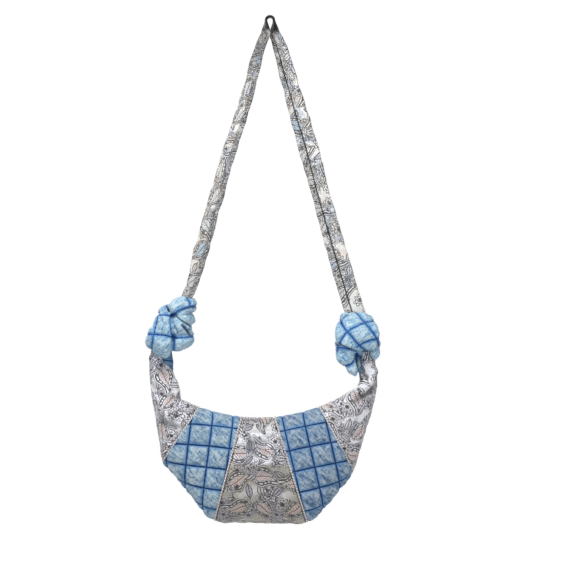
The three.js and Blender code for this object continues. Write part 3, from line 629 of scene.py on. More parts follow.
def quilt_places(flats, quilt):
    """Where points of the cloth lie in the quilting: along its two directions."""
    turn, across, down = quilt
    turn = math.radians(turn)
    u = flats[..., 0] * math.cos(turn) + flats[..., 1] * math.sin(turn) - across
    v = flats[..., 1] * math.cos(turn) - flats[..., 0] * math.sin(turn) - down
    return u, v


def gap_to_line(u):
    """How far a place is from the nearest line of its family."""
    return np.abs((u + QUILT_PITCH / 2) % QUILT_PITCH - QUILT_PITCH / 2)


print("from the nearest line, every 8 mm:", gap_to_line(np.arange(0, 64, 8)))

# %% [markdown]
# Each line of the quilting is real thread. A stitch is a short bent capsule whose ends go
# down into the cloth, and a row of them follows a path over the relief. All the stitches of
# a panel are one mesh, because thousands of copied objects would be slow.

# %% Stitches
STITCH_SIDES = 5
STITCH_RINGS = (  # share of the stitch's length, lift in its widths, share of its radius
    (0.0, -0.55, 0.35), (0.2, 0.1, 0.9), (0.5, 0.42, 1.0), (0.8, 0.1, 0.9), (1.0, -0.55, 0.35),
)
HEADING_REACH = 0.4  # how far before and after a place its heading is taken


def lengths_along(path):
    steps = np.linalg.norm(np.diff(path, axis=0), axis=1)
    return np.concatenate([[0], np.cumsum(steps)])


def at_lengths(path, measure, wanted):
    """A path's points, or its normals, at lengths along it."""
    return np.array([np.interp(wanted, measure, path[:, k]) for k in range(3)]).T


def stitch_row(path, normals, pitch, length, radius):
    """Points and faces of a row of stitches on a path, in millimetres."""
    measure = lengths_along(path)
    points, faces = [], []
    count = int((measure[-1] - length) / pitch) + 1
    for n in range(max(count, 0)):
        first = len(points)
        for share, lift, swell in STITCH_RINGS:
            at = n * pitch + share * length
            centre = at_lengths(path, measure, at)
            ahead = at_lengths(path, measure, at + HEADING_REACH)
            behind = at_lengths(path, measure, at - HEADING_REACH)
            normal = unit(at_lengths(normals, measure, at))
            across = unit(np.cross(ahead - behind, normal))
            for k in range(STITCH_SIDES):
                turn = 2 * math.pi * k / STITCH_SIDES
                round_it = across * math.cos(turn) + normal * math.sin(turn)
                points.append(centre + normal * lift * 2 * radius + round_it * radius * swell)
        last = first + (len(STITCH_RINGS) - 1) * STITCH_SIDES
        for ring in range(first, last, STITCH_SIDES):
            for k in range(STITCH_SIDES):
                a, b = ring + k, ring + (k + 1) % STITCH_SIDES
                faces.append((a, b, b + STITCH_SIDES, a + STITCH_SIDES))
        faces.append(tuple(first + k for k in reversed(range(STITCH_SIDES))))
        faces.append(tuple(last + k for k in range(STITCH_SIDES)))
    return points, faces


def sew(name, rows, pitch=4.0, length=3.1, radius=0.55):
    """One piece with many rows of stitches. A row is a path and its normals."""
    points, faces = [], []
    for path, normals in rows:
        more, their_faces = stitch_row(path, normals, pitch, length, radius)
        faces += [tuple(k + len(points) for k in face) for face in their_faces]
        points += more
    piece = reworked(make(name, points, faces), merge=False)
    piece.data.shade_smooth()
    return piece


print("a stitch has", len(STITCH_RINGS) * STITCH_SIDES, "points")

# %% [markdown]
# A stitch line is where a coordinate of the quilting is a whole number of pitches. On the
# grid of the cloth it is followed cell by cell, as a contour line is on a map.

# %% Lines on the cloth
SHORTEST_LINE = 4  # points


def contour(values, level, points, normals, inside):
    """The path where a grid's values equal a level, with one point in each line it crosses."""
    path, ups = [], []
    by_rows = np.abs(np.diff(values, axis=0)).mean() < np.abs(np.diff(values, axis=1)).mean()
    for k, row in enumerate(values if by_rows else values.T):
        crossing = np.flatnonzero((row[:-1] - level) * (row[1:] - level) <= 0)
        for j in crossing[:1]:
            share = (level - row[j]) / ((row[j + 1] - row[j]) or 1e-9)
            a, b = ((k, j), (k, j + 1)) if by_rows else ((j, k), (j + 1, k))
            if inside[a] and inside[b]:
                path.append(points[a] * (1 - share) + points[b] * share)
                ups.append(normals[a] * (1 - share) + normals[b] * share)
    if len(path) < SHORTEST_LINE:
        return None
    return np.array(path), np.array(ups)


def quilt_rows(flats, quilt, points, normals, inside):
    """All the stitch lines of a grid of quilted cloth."""
    rows = []
    for family in quilt_places(flats, quilt):
        low, high = family.min() / QUILT_PITCH, family.max() / QUILT_PITCH
        for n in range(math.ceil(low), math.floor(high) + 1):
            line = contour(family, n * QUILT_PITCH, points, normals, inside)
            if line:
                rows.append(line)
    return rows


# %% [markdown]
# The bag has four quilted panels, left and right, front and back: denim over wadding, sewn
# through in squares. The pillows are raised by number, which keeps the squares even, and
# the air of the cloth simulation then makes them puff and pucker.

# %% Quilted panels
QUILT_THICKNESS = 3.4
GROOVE_WIDTH = 1.7
GROOVE_DEPTH = 1.5
PILLOW = 2.2
PILLOW_POWER = 0.6
SEAM_DIP = 1.3
CALM_REACH = 0.1  # the share of a section over which relief fades towards the lip
HEM_REACH = 0.06
BILLOW_MOST = 5.0
SIDES = {"front": -1, "back": 1}


def bell(distance, width):
    """1 at a distance of 0, falling to almost nothing at twice the width."""
    return np.exp(-((distance / width) ** 2))


def edge_fall(points, width):
    """1 at the two seamed edges of a grid, falling to 0 inside."""
    across = np.linalg.norm(np.diff(points, axis=0), axis=2)
    from_first = np.vstack([np.zeros(points.shape[1]), np.cumsum(across, axis=0)])
    return bell(np.minimum(from_first, from_first[-1] - from_first), width)


def held_edges(inside, hemmed):
    """How firmly each point of a sheet is held: its seams, its lower edge and its hem fully."""
    hold = inside.copy()
    hold[[0, -1]] = 1
    hold[:, 0] = 1
    hold[hemmed] = 1
    return hold


def quilted_panel(name, start, end, side, quilt):
    """A padded panel and the stitches in it."""
    points, flats, places = panel_grid(start + SEAM_MARGIN, end - SEAM_MARGIN, side)
    shares = places[..., 1]
    u, v = quilt_places(flats, quilt)
    groove = bell(np.minimum(gap_to_line(u), gap_to_line(v)), GROOVE_WIDTH)
    hemmed = shares > CREST
    hold = held_edges(groove, hemmed)
    waves = np.sin(math.pi * u / QUILT_PITCH) * np.sin(math.pi * v / QUILT_PITCH)
    calm = np.clip((CREST - shares) / CALM_REACH + 1, 0, 1) * np.clip(shares / HEM_REACH, 0, 1)
    relief = PILLOW * np.abs(waves) ** PILLOW_POWER * calm - SEAM_DIP * edge_fall(points, 3.5)
    points = points + grid_normals(points, side) * relief[..., None]
    points = billow(points, hold, side, pressure=60, slack=0.05, most=BILLOW_MOST)
    points = points - grid_normals(points, side) * GROOVE_DEPTH * groove[..., None]
    panel = cloth_piece(name, points, flats, QUILT_THICKNESS, side)
    rows = quilt_rows(flats, quilt, points, grid_normals(points, side), ~hemmed)
    stitching = sew(name + "_stitching", rows)
    print(name, len(panel.data.polygons), "faces,", len(rows), "rows of stitches")
    return panel, stitching


pieces = {}
for view, side in SIDES.items():
    for hand, (start, end) in {"left": (8, 11), "right": (14, 17)}.items():
        name = f"{view}_{hand}_quilting"
        pieces[name], pieces[name + "_stitching"] = quilted_panel(name, start, end, side, QUILTS[hand])


# %% [markdown]
# The wings and the centre are one layer of jacquard. They aren't padded, so they wrinkle
# instead: a little slack and hardly any air, held at the seams. Where the photograph shows
# folds, the sheet gets them first, each as a soft ridge along a path.

# %% Plain panels
JACQUARD_THICKNESS = 1.6
LEFT_FACING_EDGE = 0.44
RIGHT_FACING_EDGE = 0.54
FACING_TIP = 0.7
KNOT_REACH = 1.2  # how many stations a wing goes on, up into its knot
WRINKLES = 0.55
JACQUARD_SLACK = 0.02
FOLD_HEIGHT = 2.5  # a fold of this height counts as full
BACK_SHIFT = 137.0  # the back is cut from another place of the cloth


def facing_edge(station):
    """Where a wing ends on the denim that faces its neck, as a share of the section."""
    from_left = max(station, 0) / LEFT_CORNER
    from_right = max(LAST - station, 0) / (LAST - RIGHT_CORNER)
    if from_left <= 1:
        return LEFT_FACING_EDGE + (FACING_TIP - LEFT_FACING_EDGE) * min(3 * from_left, 1) ** 0.8
    if from_right <= 1:
        return RIGHT_FACING_EDGE + (FACING_TIP - RIGHT_FACING_EDGE) * from_right**1.5
    return FACING_TIP + (1 - FACING_TIP) * openness(station)


def ridge(points, path, height, width):
    """How far a fold along a path in the front view (x, z) lifts each point."""
    path = spline(path, np.linspace(0, 1, 40))
    flat = points[..., [0, 2]]
    nearest = np.full(flat.shape[:2], 1e9)
    share = np.zeros(flat.shape[:2])
    for k, place in enumerate(path):
        gap = np.hypot(flat[..., 0] - place[0], flat[..., 1] - place[1])
        closer = gap < nearest
        nearest[closer] = gap[closer]
        share[closer] = k / (len(path) - 1)
    fade = np.sin(math.pi * np.clip(share * 0.9 + 0.05, 0, 1)) ** 0.6
    return height * fade * bell(nearest, width)


def plain_panel(name, start, end, side, t_end, folds):
    """A panel of one layer, with its folds and wrinkles."""
    start += SEAM_MARGIN if start > 0 else 0
    end -= SEAM_MARGIN if end < LAST else 0
    points, flats, places = panel_grid(start, end, side, t_end)
    stations, shares = places[..., 0], places[..., 1]
    in_knot = (stations < 1) | (stations > LAST - 1)
    hold = held_edges(np.zeros(points.shape[:2]), (shares > CREST) | in_knot)
    calm = np.clip((CREST + HEM_REACH - shares) / CALM_REACH, 0, 1)
    held = np.clip(edge_fall(points, 12) * 1.2, 0, 1)
    waves = ripples(flats[..., 0], flats[..., 1], 61 + int(start), 26, 70)
    waves = waves + 0.6 * ripples(flats[..., 1], flats[..., 0], 67 + int(start), 17, 40)
    relief = -SEAM_DIP * edge_fall(points, 3) + WRINKLES * waves * calm * (1 - 0.8 * held)
    lifted = sum(calm * ridge(points, path, height, width) for path, height, width in folds)
    relief += lifted
    points = points + grid_normals(points, side) * relief[..., None]
    points = billow(points, hold, side, pressure=6, slack=JACQUARD_SLACK, most=BILLOW_MOST)
    cloth_grids[name] = points
    cloth_shares[name] = shares[len(shares) // 2]
    flats = flats + (BACK_SHIFT if side > 0 else 0, 0)
    # The folds' heights go with the cloth, so that its finish paints highlights on their crests and shade
    # in their sunk parts.
    panel = cloth_piece(name, points, flats, JACQUARD_THICKNESS, side, lifted / FOLD_HEIGHT)
    print(name, len(panel.data.polygons), "faces")
    return panel


# %% [markdown]
# Soft jacquard doesn't lie smooth between two stiff quilted panels. Each fold has a path in
# the front view, a height, which is negative for a hollow, and a width. The grid is fine
# enough to carry them, so no sculpting is needed and a fold can be moved by its numbers.

# %% Folds, and the panels that have them
CENTRE_FOLDS = [
    ([(-52, -622), (-45, -638), (-38, -652)], 4.0, 7),
    ([(-36, -614), (-30, -630), (-28, -646), (-20, -655)], -4.5, 4),
    ([(-18, -612), (-12, -630), (-6, -646)], -3.0, 10),
    ([(-28, -662), (-12, -665), (6, -660)], 3.2, 4),
    ([(0, -640), (12, -648), (26, -658)], 4.5, 8),
    ([(26, -612), (30, -630), (34, -644)], 2.5, 5),
    ([(-40, -676), (-14, -684), (14, -680), (34, -690)], -1.6, 5),
    ([(-48, -716), (-20, -706), (12, -716), (36, -708)], 1.4, 7),
]
LEFT_WING_FOLDS = [
    ([(-181, -508), (-168, -520), (-152, -534), (-140, -545)], 3.2, 4),
    ([(-176, -516), (-164, -528), (-150, -541)], -2.6, 3),
    ([(-172, -560), (-160, -580), (-150, -590), (-132, -592)], 3.4, 6),
    ([(-166, -596), (-150, -610), (-128, -612)], -3.0, 5),
    ([(-160, -630), (-148, -644), (-140, -660)], 2.2, 5),
    ([(-176, -540), (-170, -570), (-166, -600)], -1.8, 4),
]
RIGHT_WING_FOLDS = [
    ([(158, -528), (150, -546), (134, -560), (112, -572), (96, -584)], 5.0, 5),
    ([(160, -548), (146, -562), (124, -576)], -5.0, 4),
    ([(140, -512), (146, -524), (158, -532)], 3.2, 4),
    ([(136, -524), (142, -536), (152, -542)], -2.6, 3),
    ([(150, -590), (140, -612), (132, -636)], 2.4, 5),
    ([(132, -590), (126, -612), (120, -630)], -2.0, 4),
]
PLAIN = {
    "left_wing": (-KNOT_REACH, 8, facing_edge, LEFT_WING_FOLDS),
    "centre_panel": (11, 14, None, CENTRE_FOLDS),
    "right_wing": (17, LAST + KNOT_REACH, facing_edge, RIGHT_WING_FOLDS),
}
cloth_grids, cloth_shares = {}, {}
for view, side in SIDES.items():
    for part, (start, end, t_end, folds) in PLAIN.items():
        name = f"{view}_{part}_cloth"
        shown = folds if view == "front" else folds[:1]
        pieces[name] = plain_panel(name, start, end, side, t_end, shown)


# %% [markdown]
# A knot is the quilted tube wound over itself. A simulation could pull a tube tight, but it
# would hardly end in this very knot, so each turn that shows is laid as a roll: a
# flat, full tube along a path, whose face looks away from the knot's middle. Remesh melts
# the rolls into one closed skin, as cloth that is pressed together looks from outside.

# %% Rolls
ROLL_SPACING = 2.5
ROLL_SIDES = 40
ROLL_CROWN = 0.92
SKIN_VOXEL = 1.0
SKIN_SMOOTHING = 7


def squared(wave, power):
    """A wave from -1 to 1 that stays longer near its ends, which makes a circle squarer."""
    return np.sign(wave) * np.abs(wave) ** power


def roll_grid(path, width, thickness, shares, middle=(0, 0, 0)):
    """The rings of a roll, whose width changes along its path by the shares."""
    length = lengths_along(spline(path, np.linspace(0, 1, 60)))[-1]
    at = np.linspace(0, 1, int((length + thickness) / ROLL_SPACING))
    centres = spline(path, at)
    along = unit(np.gradient(centres, axis=0))
    out = centres - np.array(middle, float)
    out = unit(out - along * (out * along).sum(1, keepdims=True))
    across = np.cross(along, out)
    spread = np.interp(at * (len(shares) - 1), range(len(shares)), shares)
    near_end = np.clip(np.minimum(at, 1 - at) * length / (0.55 * thickness), 0, 1)
    rounding = np.sqrt(np.clip(1 - (1 - near_end) ** 2, 0.003, 1))
    turns = np.linspace(0, 2 * math.pi, ROLL_SIDES + 1)
    half_width = width / 2 * spread * rounding
    half_thickness = thickness / 2 * np.sqrt(spread) * rounding
    side = half_width[:, None] * squared(np.cos(turns), ROLL_CROWN)
    face = half_thickness[:, None] * squared(np.sin(turns), ROLL_CROWN)
    points = centres[:, None] + across[:, None] * side[..., None] + out[:, None] * face[..., None]
    points[:, -1] = points[:, 0]
    return points


def ball_grid(centre, radii):
    """A full, round piece of the knot."""
    heights = np.linspace(0.02, math.pi - 0.02, ROLL_SIDES // 2)
    turns = np.linspace(0, 2 * math.pi, ROLL_SIDES + 1)
    x = np.sin(heights)[:, None] * np.cos(turns)
    y = np.sin(heights)[:, None] * np.sin(turns)
    z = np.cos(heights)[:, None] * np.ones_like(turns)
    points = np.array(centre, float) + np.stack([x, y, z], axis=-1) * np.array(radii, float)
    points[:, -1] = points[:, 0]
    return points


def roll_mesh(name, points, flats=None):
    """The closed mesh of a row of rings."""
    rows, columns = points.shape[:2]
    faces = [tuple(face) for face in grid_faces(rows, columns).tolist()]
    faces.append(tuple(reversed(range(columns - 1))))
    faces.append(tuple(range((rows - 1) * columns, rows * columns - 1)))
    return reworked(make(name, points, faces, flats))


def melt(name, grids, middle):
    """One closed skin round forms that overlap."""
    parts = [roll_mesh(name, grid + np.array(middle, float)) for grid in grids]
    bpy.ops.object.select_all(action="DESELECT")
    for part in parts:
        part.select_set(True)
    bpy.context.view_layer.objects.active = parts[0]
    bpy.ops.object.join()
    whole = bpy.context.object
    whole.name = name
    apply(whole, "REMESH", mode="VOXEL", voxel_size=SKIN_VOXEL * MM)
    apply(whole, "SMOOTH", factor=0.5, iterations=SKIN_SMOOTHING)
    return whole


# %% [markdown]
# The knots' lines are known from the front, so they are drawn there, as points across and
# up from the knot's middle, and laid on the skin: quilting all round it, and folds only on
# the side that they belong to. The skin then sinks along the quilting and swells between.

# %% Lines on a skin
LINE_SPACING = 0.5
SIDE_BRIDGE = 34.0  # the longest gap over a knot's side that a line crosses
LAID_POINTS = 500
FAR_OUT = 200.0  # where the rays that lay a line start from


def read(piece):
    """A mesh's points, in millimetres, and its normals."""
    count = len(piece.data.vertices)
    points, normals = np.zeros(count * 3), np.zeros(count * 3)
    piece.data.vertices.foreach_get("co", points)
    piece.data.vertex_normals.foreach_get("vector", normals)
    return points.reshape(-1, 3) / MM, normals.reshape(-1, 3)


def skin_tree(piece):
    return BVHTree.FromObject(piece, bpy.context.evaluated_depsgraph_get())


def snapped(tree, path):
    """A path moved onto the nearest points of a surface, with the surface's normals."""
    found = [tree.find_nearest(Vector(point * MM))[:2] for point in path]
    places, normals = (np.array([row[k][:] for row in found]) for k in (0, 1))
    return places / MM, normals


def evenly(path, spacing):
    """A path measured out again in equal steps."""
    measure = lengths_along(path)
    wanted = np.linspace(0, measure[-1], max(int(measure[-1] / spacing), 2))
    return at_lengths(path, measure, wanted)


def laid(tree, path, middle, side):
    """A path of the front view on a surface, seen from the front (-1) or the back (1)."""
    hits = []
    for x, z in spline(path, np.linspace(0, 1, LAID_POINTS)):
        start = Vector((middle[0] + x, side * FAR_OUT, middle[2] + z)) * MM
        place, _, _, _ = tree.ray_cast(start, Vector((0, -side, 0)))
        if place:
            hits.append(np.array(place[:]) / MM)
    return np.array(hits)


def laid_round(tree, path, middle):
    """The same path on both sides, joined over the knot's side where it gets there."""
    front, back = laid(tree, path, middle, -1), laid(tree, path, middle, 1)
    lines = [front, back]
    for end in (0, -1):
        if math.dist(front[end], back[end]) < SIDE_BRIDGE:
            shares = np.linspace(0, 1, 40)[:, None]
            lines.append(front[end] * (1 - shares) + back[end] * shares)
    return [snapped(tree, evenly(line, LINE_SPACING))[0] for line in lines]


def nearest_on(lines, points):
    """How far points are from the nearest of some lines, and how far along it that is."""
    tree = KDTree(sum(len(line) for line in lines))
    places = []
    for line in lines:
        for point, along in zip(line, lengths_along(line)):
            tree.insert(Vector(point), len(places))
            places.append(along)
    tree.balance()
    found = [tree.find(Vector(point)) for point in points]
    return np.array([gap for _, _, gap in found]), np.array([places[k] for _, k, _ in found])


# %% [markdown]
# The skin's relief is a sum: pillows between the lines, a groove in each line, puckers
# beside it, small wrinkles, and the folds. Each point also keeps how far it is from a line,
# which the denim's finish reads, and how deep it lies in a sunk fold, where the finish
# paints shade.

# %% Quilted skins
SKIN_PILLOW = 2.6
PILLOW_REACH = 6.5
SKIN_GROOVE = 1.4
SKIN_INSET = 1.5
PUCKER_HEIGHT = 0.5
PUCKER_LENGTH = 6.0
PUCKER_START = 1.6
PUCKER_END = 5.5
WRINKLE_HEIGHT = 0.45
STITCH_STEP = 1.5
SHORTEST_SEWN = 12  # points of a line that is worth sewing


def skin_relief(local, gap, along, wrinkle_turn):
    """How far each point of a skin moves out, from its place, and its place by the lines."""
    relief = SKIN_PILLOW * (1 - bell(gap, PILLOW_REACH)) - SKIN_INSET
    relief -= SKIN_GROOVE * bell(gap, GROOVE_WIDTH)
    beside = bell(gap, PUCKER_END) * (1 - bell(gap, PUCKER_START))
    relief += PUCKER_HEIGHT * beside * ripples(along, gap, 7, PUCKER_LENGTH, 30)
    turn = math.radians(wrinkle_turn)
    over = local[:, 0] * math.cos(turn) + local[:, 2] * math.sin(turn)
    down = local[:, 2] * math.cos(turn) - local[:, 0] * math.sin(turn)
    return relief + WRINKLE_HEIGHT * ripples(over + 0.3 * local[:, 1], down, 9, 8, 34)


def quilted_skin(name, grids, middle, lines, folds, wrinkle_turn):
    """A knot's cloth and the stitches in it."""
    skin = melt(name, grids, middle)
    tree = skin_tree(skin)
    points, normals = read(skin)
    laid_lines = [line for path in lines for line in laid_round(tree, path, middle)]
    gap, along = nearest_on(laid_lines, points)
    relief = skin_relief(points - np.array(middle, float), gap, along, wrinkle_turn)
    # How deep each point lies in a sunk fold: the denim paints shade there.
    hollow = np.zeros(len(points))
    for path, height, width, side in folds:
        crease, _ = snapped(tree, evenly(laid(tree, path, middle, side), LINE_SPACING))
        shape = bell(nearest_on([crease], points)[0], width)
        relief += height * shape
        if height < 0:
            hollow = np.maximum(hollow, shape * min(-height / FOLD_HEIGHT, 1))
    points = points + normals * relief[:, None]
    skin.data.vertices.foreach_set("co", (points * MM).ravel())
    skin.data.update()
    for key, values in (("gap", gap), ("hollow", hollow)):
        skin.data.attributes.new(key, "FLOAT", "POINT").data.foreach_set("value", values)
    skin.data.shade_smooth()
    finished = skin_tree(skin)
    sewn = [line for line in laid_lines if len(line) > SHORTEST_SEWN]
    rows = [snapped(finished, evenly(line, STITCH_STEP)) for line in sewn]
    stitching = sew(name + "_stitching", rows)
    print(name, len(skin.data.polygons), "faces,", len(rows), "rows of stitches")
    return skin, stitching


# %% [markdown]
# The left knot has a wrap that falls down its left side from a tuck, and a band that goes
# over its upper right corner, with three folds below it. The right knot has one broad wrap
# over the front, with a pointed lobe below it. All points count from the knot's middle, and
# a roll has its width, its thickness and the shares of its width along its path.

# %% Rolls of the knots
LEFT_ROLLS = [
    ball_grid((1, 0, -2), (28, 26, 34)),
    roll_grid(
        [
            (-10.5, -14, 27), (-12.5, -22, 13), (-13.5, -26, -2),
            (-19, -24, -16), (-19.5, -15, -26), (-20, 0, -33.5),
        ],
        44, 22, (0.48, 0.64, 0.82, 1, 0.98, 0.9),
    ),
    roll_grid(
        [(-1, -20, 23), (10, -20, 31), (22, -13, 37), (28, 0, 36), (26, 16, 28)],
        32, 22, (0.78, 0.94, 0.9, 0.7, 0.5),
    ),
    roll_grid([(4, -23, 19), (15, -19, 18), (22, -3, 18), (20, 13, 16)], 27, 18, (0.5, 0.9, 1, 0.9)),
    roll_grid([(5, -25, 12), (14, -22, 4), (21, -14, -4), (22, 0, -7)], 18, 14, (0.5, 0.9, 1, 1)),
    roll_grid(
        [(23, 12, -12), (24.5, -3, -15), (18, -15, -19), (6, -19, -24), (-5, -12, -30)],
        24, 18, (0.8, 1, 1, 0.9, 0.7),
    ),
    roll_grid([(-17, 4, 22), (-14, -8, 27), (-8, -12, 29), (-1, -9, 30)], 14, 12, (1, 1)),
    roll_grid([(-17, 14, -20), (-3, 25, -2), (14, 20, 17)], 42, 18, (1, 1)),
]
RIGHT_ROLLS = [
    ball_grid((0, 0, 0), (30, 28, 34)),
    roll_grid(
        [(-2, 18, 12), (-2, 2, 18), (-2, -18, 13), (-1, -28, 1), (2, -25, -13), (4, -9, -19)],
        68, 22, (0.72, 0.82, 0.88, 0.94, 0.98, 0.92),
    ),
    roll_grid(
        [(-18, -8, -8), (-19, -15, -20), (-16.5, -17, -33), (-9.5, -14, -48), (-2.5, -9, -63)],
        34, 18, (0.9, 0.95, 0.88, 0.58, 0.14), (-9, 45, -26),
    ),
    roll_grid(
        [(24, 8, -4), (27, -8, -14), (26.5, -13, -25), (26, -12, -38)], 20, 16, (0.8, 1, 0.85, 0.3)
    ),
    roll_grid([(-17, 6, 24), (-19, -8, 21), (-18, -16, 11)], 19, 17, (1, 1, 1)),
    roll_grid([(-4, 2, -20), (-1, 0, -36), (0, -3, -58)], 16, 14, (1, 0.95, 0.6)),
    roll_grid([(16, 15, -18), (3, 24, 0), (-9, 18, 18)], 42, 18, (1, 1)),
]
print("rolls of the left and the right knot:", len(LEFT_ROLLS), len(RIGHT_ROLLS))

# %% [markdown]
# The knots' quilting is the same square grid, bent by the winding. Each line is a path
# across and up from its knot's middle, as it shows from the front.

# %% Quilting lines of the knots
LEFT_LINES = [
    [(-20, 34), (-22, 20.5), (-24, 8.5), (-26.5, -3.5), (-29.5, -20), (-31.5, -35), (-32, -47)],
    [(0, 21), (0, 2.5), (3, -12.5), (3.6, -28.5), (1.5, -44)],
    [
        (-34, 23), (-22, 21.5), (-10.5, 22), (1.5, 20.5), (9, 26),
        (16.5, 29.5), (27, 32.5), (37.5, 34), (47, 34),
    ],
    [(-47, -7), (-37.5, -8), (-24, -8), (-10.5, -9.5), (3, -12.5), (16.5, -12), (28.5, -11), (41, -9.5)],
    [(21, 57), (24, 47.5), (28.5, 38.5), (30, 33)],
]
RIGHT_LINES = [
    [(-30, 24), (-27.5, 21), (-17, 6), (-6.5, -7), (2.5, -18), (10, -24), (16, -29)],
    [(-6.5, 42), (-0.5, 33), (11.5, 18), (22, 5), (29.5, -7.5), (35.5, -24), (38, -36)],
    [
        (-32, -25.5), (-29, -16.5), (-24.5, -7.5), (-18.5, 1.5), (-9.5, 9),
        (-0.5, 13.5), (13, 19), (25, 21), (36, 22),
    ],
    [(-0.5, -20), (2.5, -18), (10, -13.5), (18.5, -10), (26.5, -8.5), (34, -7.5), (45, -7.5)],
    [(-43, -19.5), (-29, -20.5), (-18.5, -22.5), (-6.5, -25.5), (-0.5, -27)],
    [(-26, -52), (-19, -49), (-11, -46), (-4, -40.5), (-1, -30)],
]
print("quilting lines:", len(LEFT_LINES), len(RIGHT_LINES))

# %% [markdown]
# Where rolls press on each other, the cloth creases. A fold has its path, its height, its
# width and its side: -1 for the front and 1 for the back.

# %% Folds of the knots
LEFT_FOLDS = [
    ([(3, 20.5), (12, 14.5), (21, 8.5), (32, 1)], -2.0, 1.3, -1),
    ([(5, 23.5), (13, 20), (24, 15), (34, 11)], 1.2, 3.0, -1),
    ([(6, 13.5), (14, 8), (21, 3), (27, -1)], 1.6, 2.4, -1),
    ([(17, 5), (22.5, -1.5), (29.5, -8)], -4.5, 2.6, -1),
    ([(5, 20), (11, 24), (18, 27.5), (28, 30.5), (36, 32)], -1.8, 1.6, -1),
    ([(2, 18), (2, 2.5), (5, -12.5), (5.5, -28)], -0.9, 1.6, -1),
    ([(-9, 36), (-6, 31), (-4, 26)], -2.4, 1.8, -1),
    ([(-19, 18), (-14, 6), (-8, -6)], 1.1, 2.2, -1),
    ([(-16, 18.5), (-11, 7), (-4, -6)], -1.3, 1.8, -1),
    ([(-11, 19), (-6, 8), (-2, -4)], 1.1, 2.2, -1),
    ([(-22, 10), (-18, 0), (-14, -7)], -1.0, 1.8, -1),
    ([(4, 14), (9, 4), (14, -9)], 1.0, 2.4, -1),
    ([(4, 6), (8, -3), (11, -10)], -1.2, 1.8, -1),
    ([(-28, -12), (-20, -22), (-12, -34)], 1.0, 4.0, -1),
    ([(6, -15), (14, -19), (26, -19)], 0.9, 2.6, -1),
    ([(7, -22), (15, -25), (23, -24)], -1.0, 1.8, -1),
    ([(-18, 30), (-4, 14), (8, -6), (12, -28)], -2.2, 2.2, 1),
    ([(14, 34), (6, 14), (-8, -4), (-24, -12)], -1.6, 2.0, 1),
]
RIGHT_FOLDS = [
    (
        [
            (-34, -15), (-24.5, -17), (-15.5, -21.5), (-6.5, -25), (1, -27),
            (10, -27.5), (16, -28.5), (20, -32), (23, -37),
        ],
        -3.0, 1.6, -1,
    ),
    ([(-3, -31), (-1, -42), (0, -56)], -2.6, 2.6, -1),
    ([(-25, 17), (-23, 22), (-19, 26), (-14, 29)], -1.8, 1.6, -1),
    ([(-30, -13), (-31.5, -21), (-32.5, -31), (-31, -38)], -1.4, 1.5, -1),
    ([(-26, -22), (-14, -27), (-4, -32)], 0.9, 2.4, -1),
    ([(-22, -30), (-12, -36), (-4, -44)], -0.9, 2.0, -1),
    ([(-8, 30), (-1, 22), (4, 14)], 0.8, 3.0, -1),
    ([(20, 30), (4, 10), (-14, -6), (-28, -14)], -2.2, 2.2, 1),
    ([(-20, 26), (-4, 4), (14, -16)], -1.6, 2.0, 1),
]
print("folds:", len(LEFT_FOLDS), len(RIGHT_FOLDS))

# %% [markdown]
# Each knot is made at its place from its rolls, its lines and its folds. The last number
# turns its small wrinkles, in degrees, to where its strap pulls.

# %% Tie the knots
KNOTS = {
    "left": (LEFT_ROLLS, (-147, 0, -466), LEFT_LINES, LEFT_FOLDS, 28),
    "right": (RIGHT_ROLLS, (131, 0, -474), RIGHT_LINES, RIGHT_FOLDS, -20),
}
for hand, knot in KNOTS.items():
    name = f"{hand}_knot_cloth"
    pieces[name], pieces[name + "_thread"] = quilted_skin(name, *knot)


# %% [markdown]
# The strap is a flat tube of jacquard, turned inside out after sewing, with a seam along one
# face. It carries the bag's weight, so it wrinkles along its length and its edges stay full.
# Its way comes first. A curve could hold it, but these rows also hold how far its face is
# turned at each place, which a curve's own twist makes hard to see.

# %% The strap's way
STRAP_WIDTH = 30.0
STRAP_THICKNESS = 4.0
STRAP_SPACING = 1.6
HOOK_RADIUS = 4.0
SEAT_ANGLE = 24.0
CROWN_ANGLES = (-90, -74, -57, -40)
PINCH = 3.0  # how far the legs press in under the hook
PINCH_HEIGHT = -17.0
LEFT_LEG = [  # across, up, and the turn of the strap's face in degrees
    (-132, -432, 26), (-126.5, -421, 27), (-119.7, -408, 32), (-102.9, -348, 45), (-77.7, -258, 42),
    (-60.3, -198, 40), (-36, -123, 36), (-20.4, -63, 31), (-8.6, -24, 26),
]
RIGHT_LEG = [
    (9.2, -24, -28), (20.4, -63, -48), (37, -123, -56), (58.5, -198, -84), (74.4, -258, -60),
    (99.6, -348, -78), (117, -408, -84), (122, -424, -84), (129, -447, -84),
]


def pinched(height):
    """1 under the hook, where the strap's two legs press against each other."""
    above = height > PINCH_HEIGHT
    return bell(height - PINCH_HEIGHT, np.where(above, 7, 13))


def leg_places(leg):
    """A leg drawn smoothly through its points."""
    shares = np.linspace(0, 1, 40)
    places = spline([(x, z) for x, z, _ in leg], shares)
    turns = spline([(i, turn) for i, (_, _, turn) in enumerate(leg)], shares)
    return np.column_stack([places, turns[:, 1]])


def crown_places():
    """The way over the hook: round both sides and straight over the seat."""
    seat = math.radians(SEAT_ANGLE)
    reach = HOOK_RADIUS + STRAP_THICKNESS / 2
    drop = HOOK_RADIUS * math.cos(seat)
    places = [(reach * math.sin(t), reach * math.cos(t) - drop, 0) for t in map(math.radians, CROWN_ANGLES)]
    places.append((-HOOK_RADIUS * math.sin(seat), STRAP_THICKNESS / 2, 0))
    return np.array(places + [(-x, z, turn) for x, z, turn in reversed(places)])


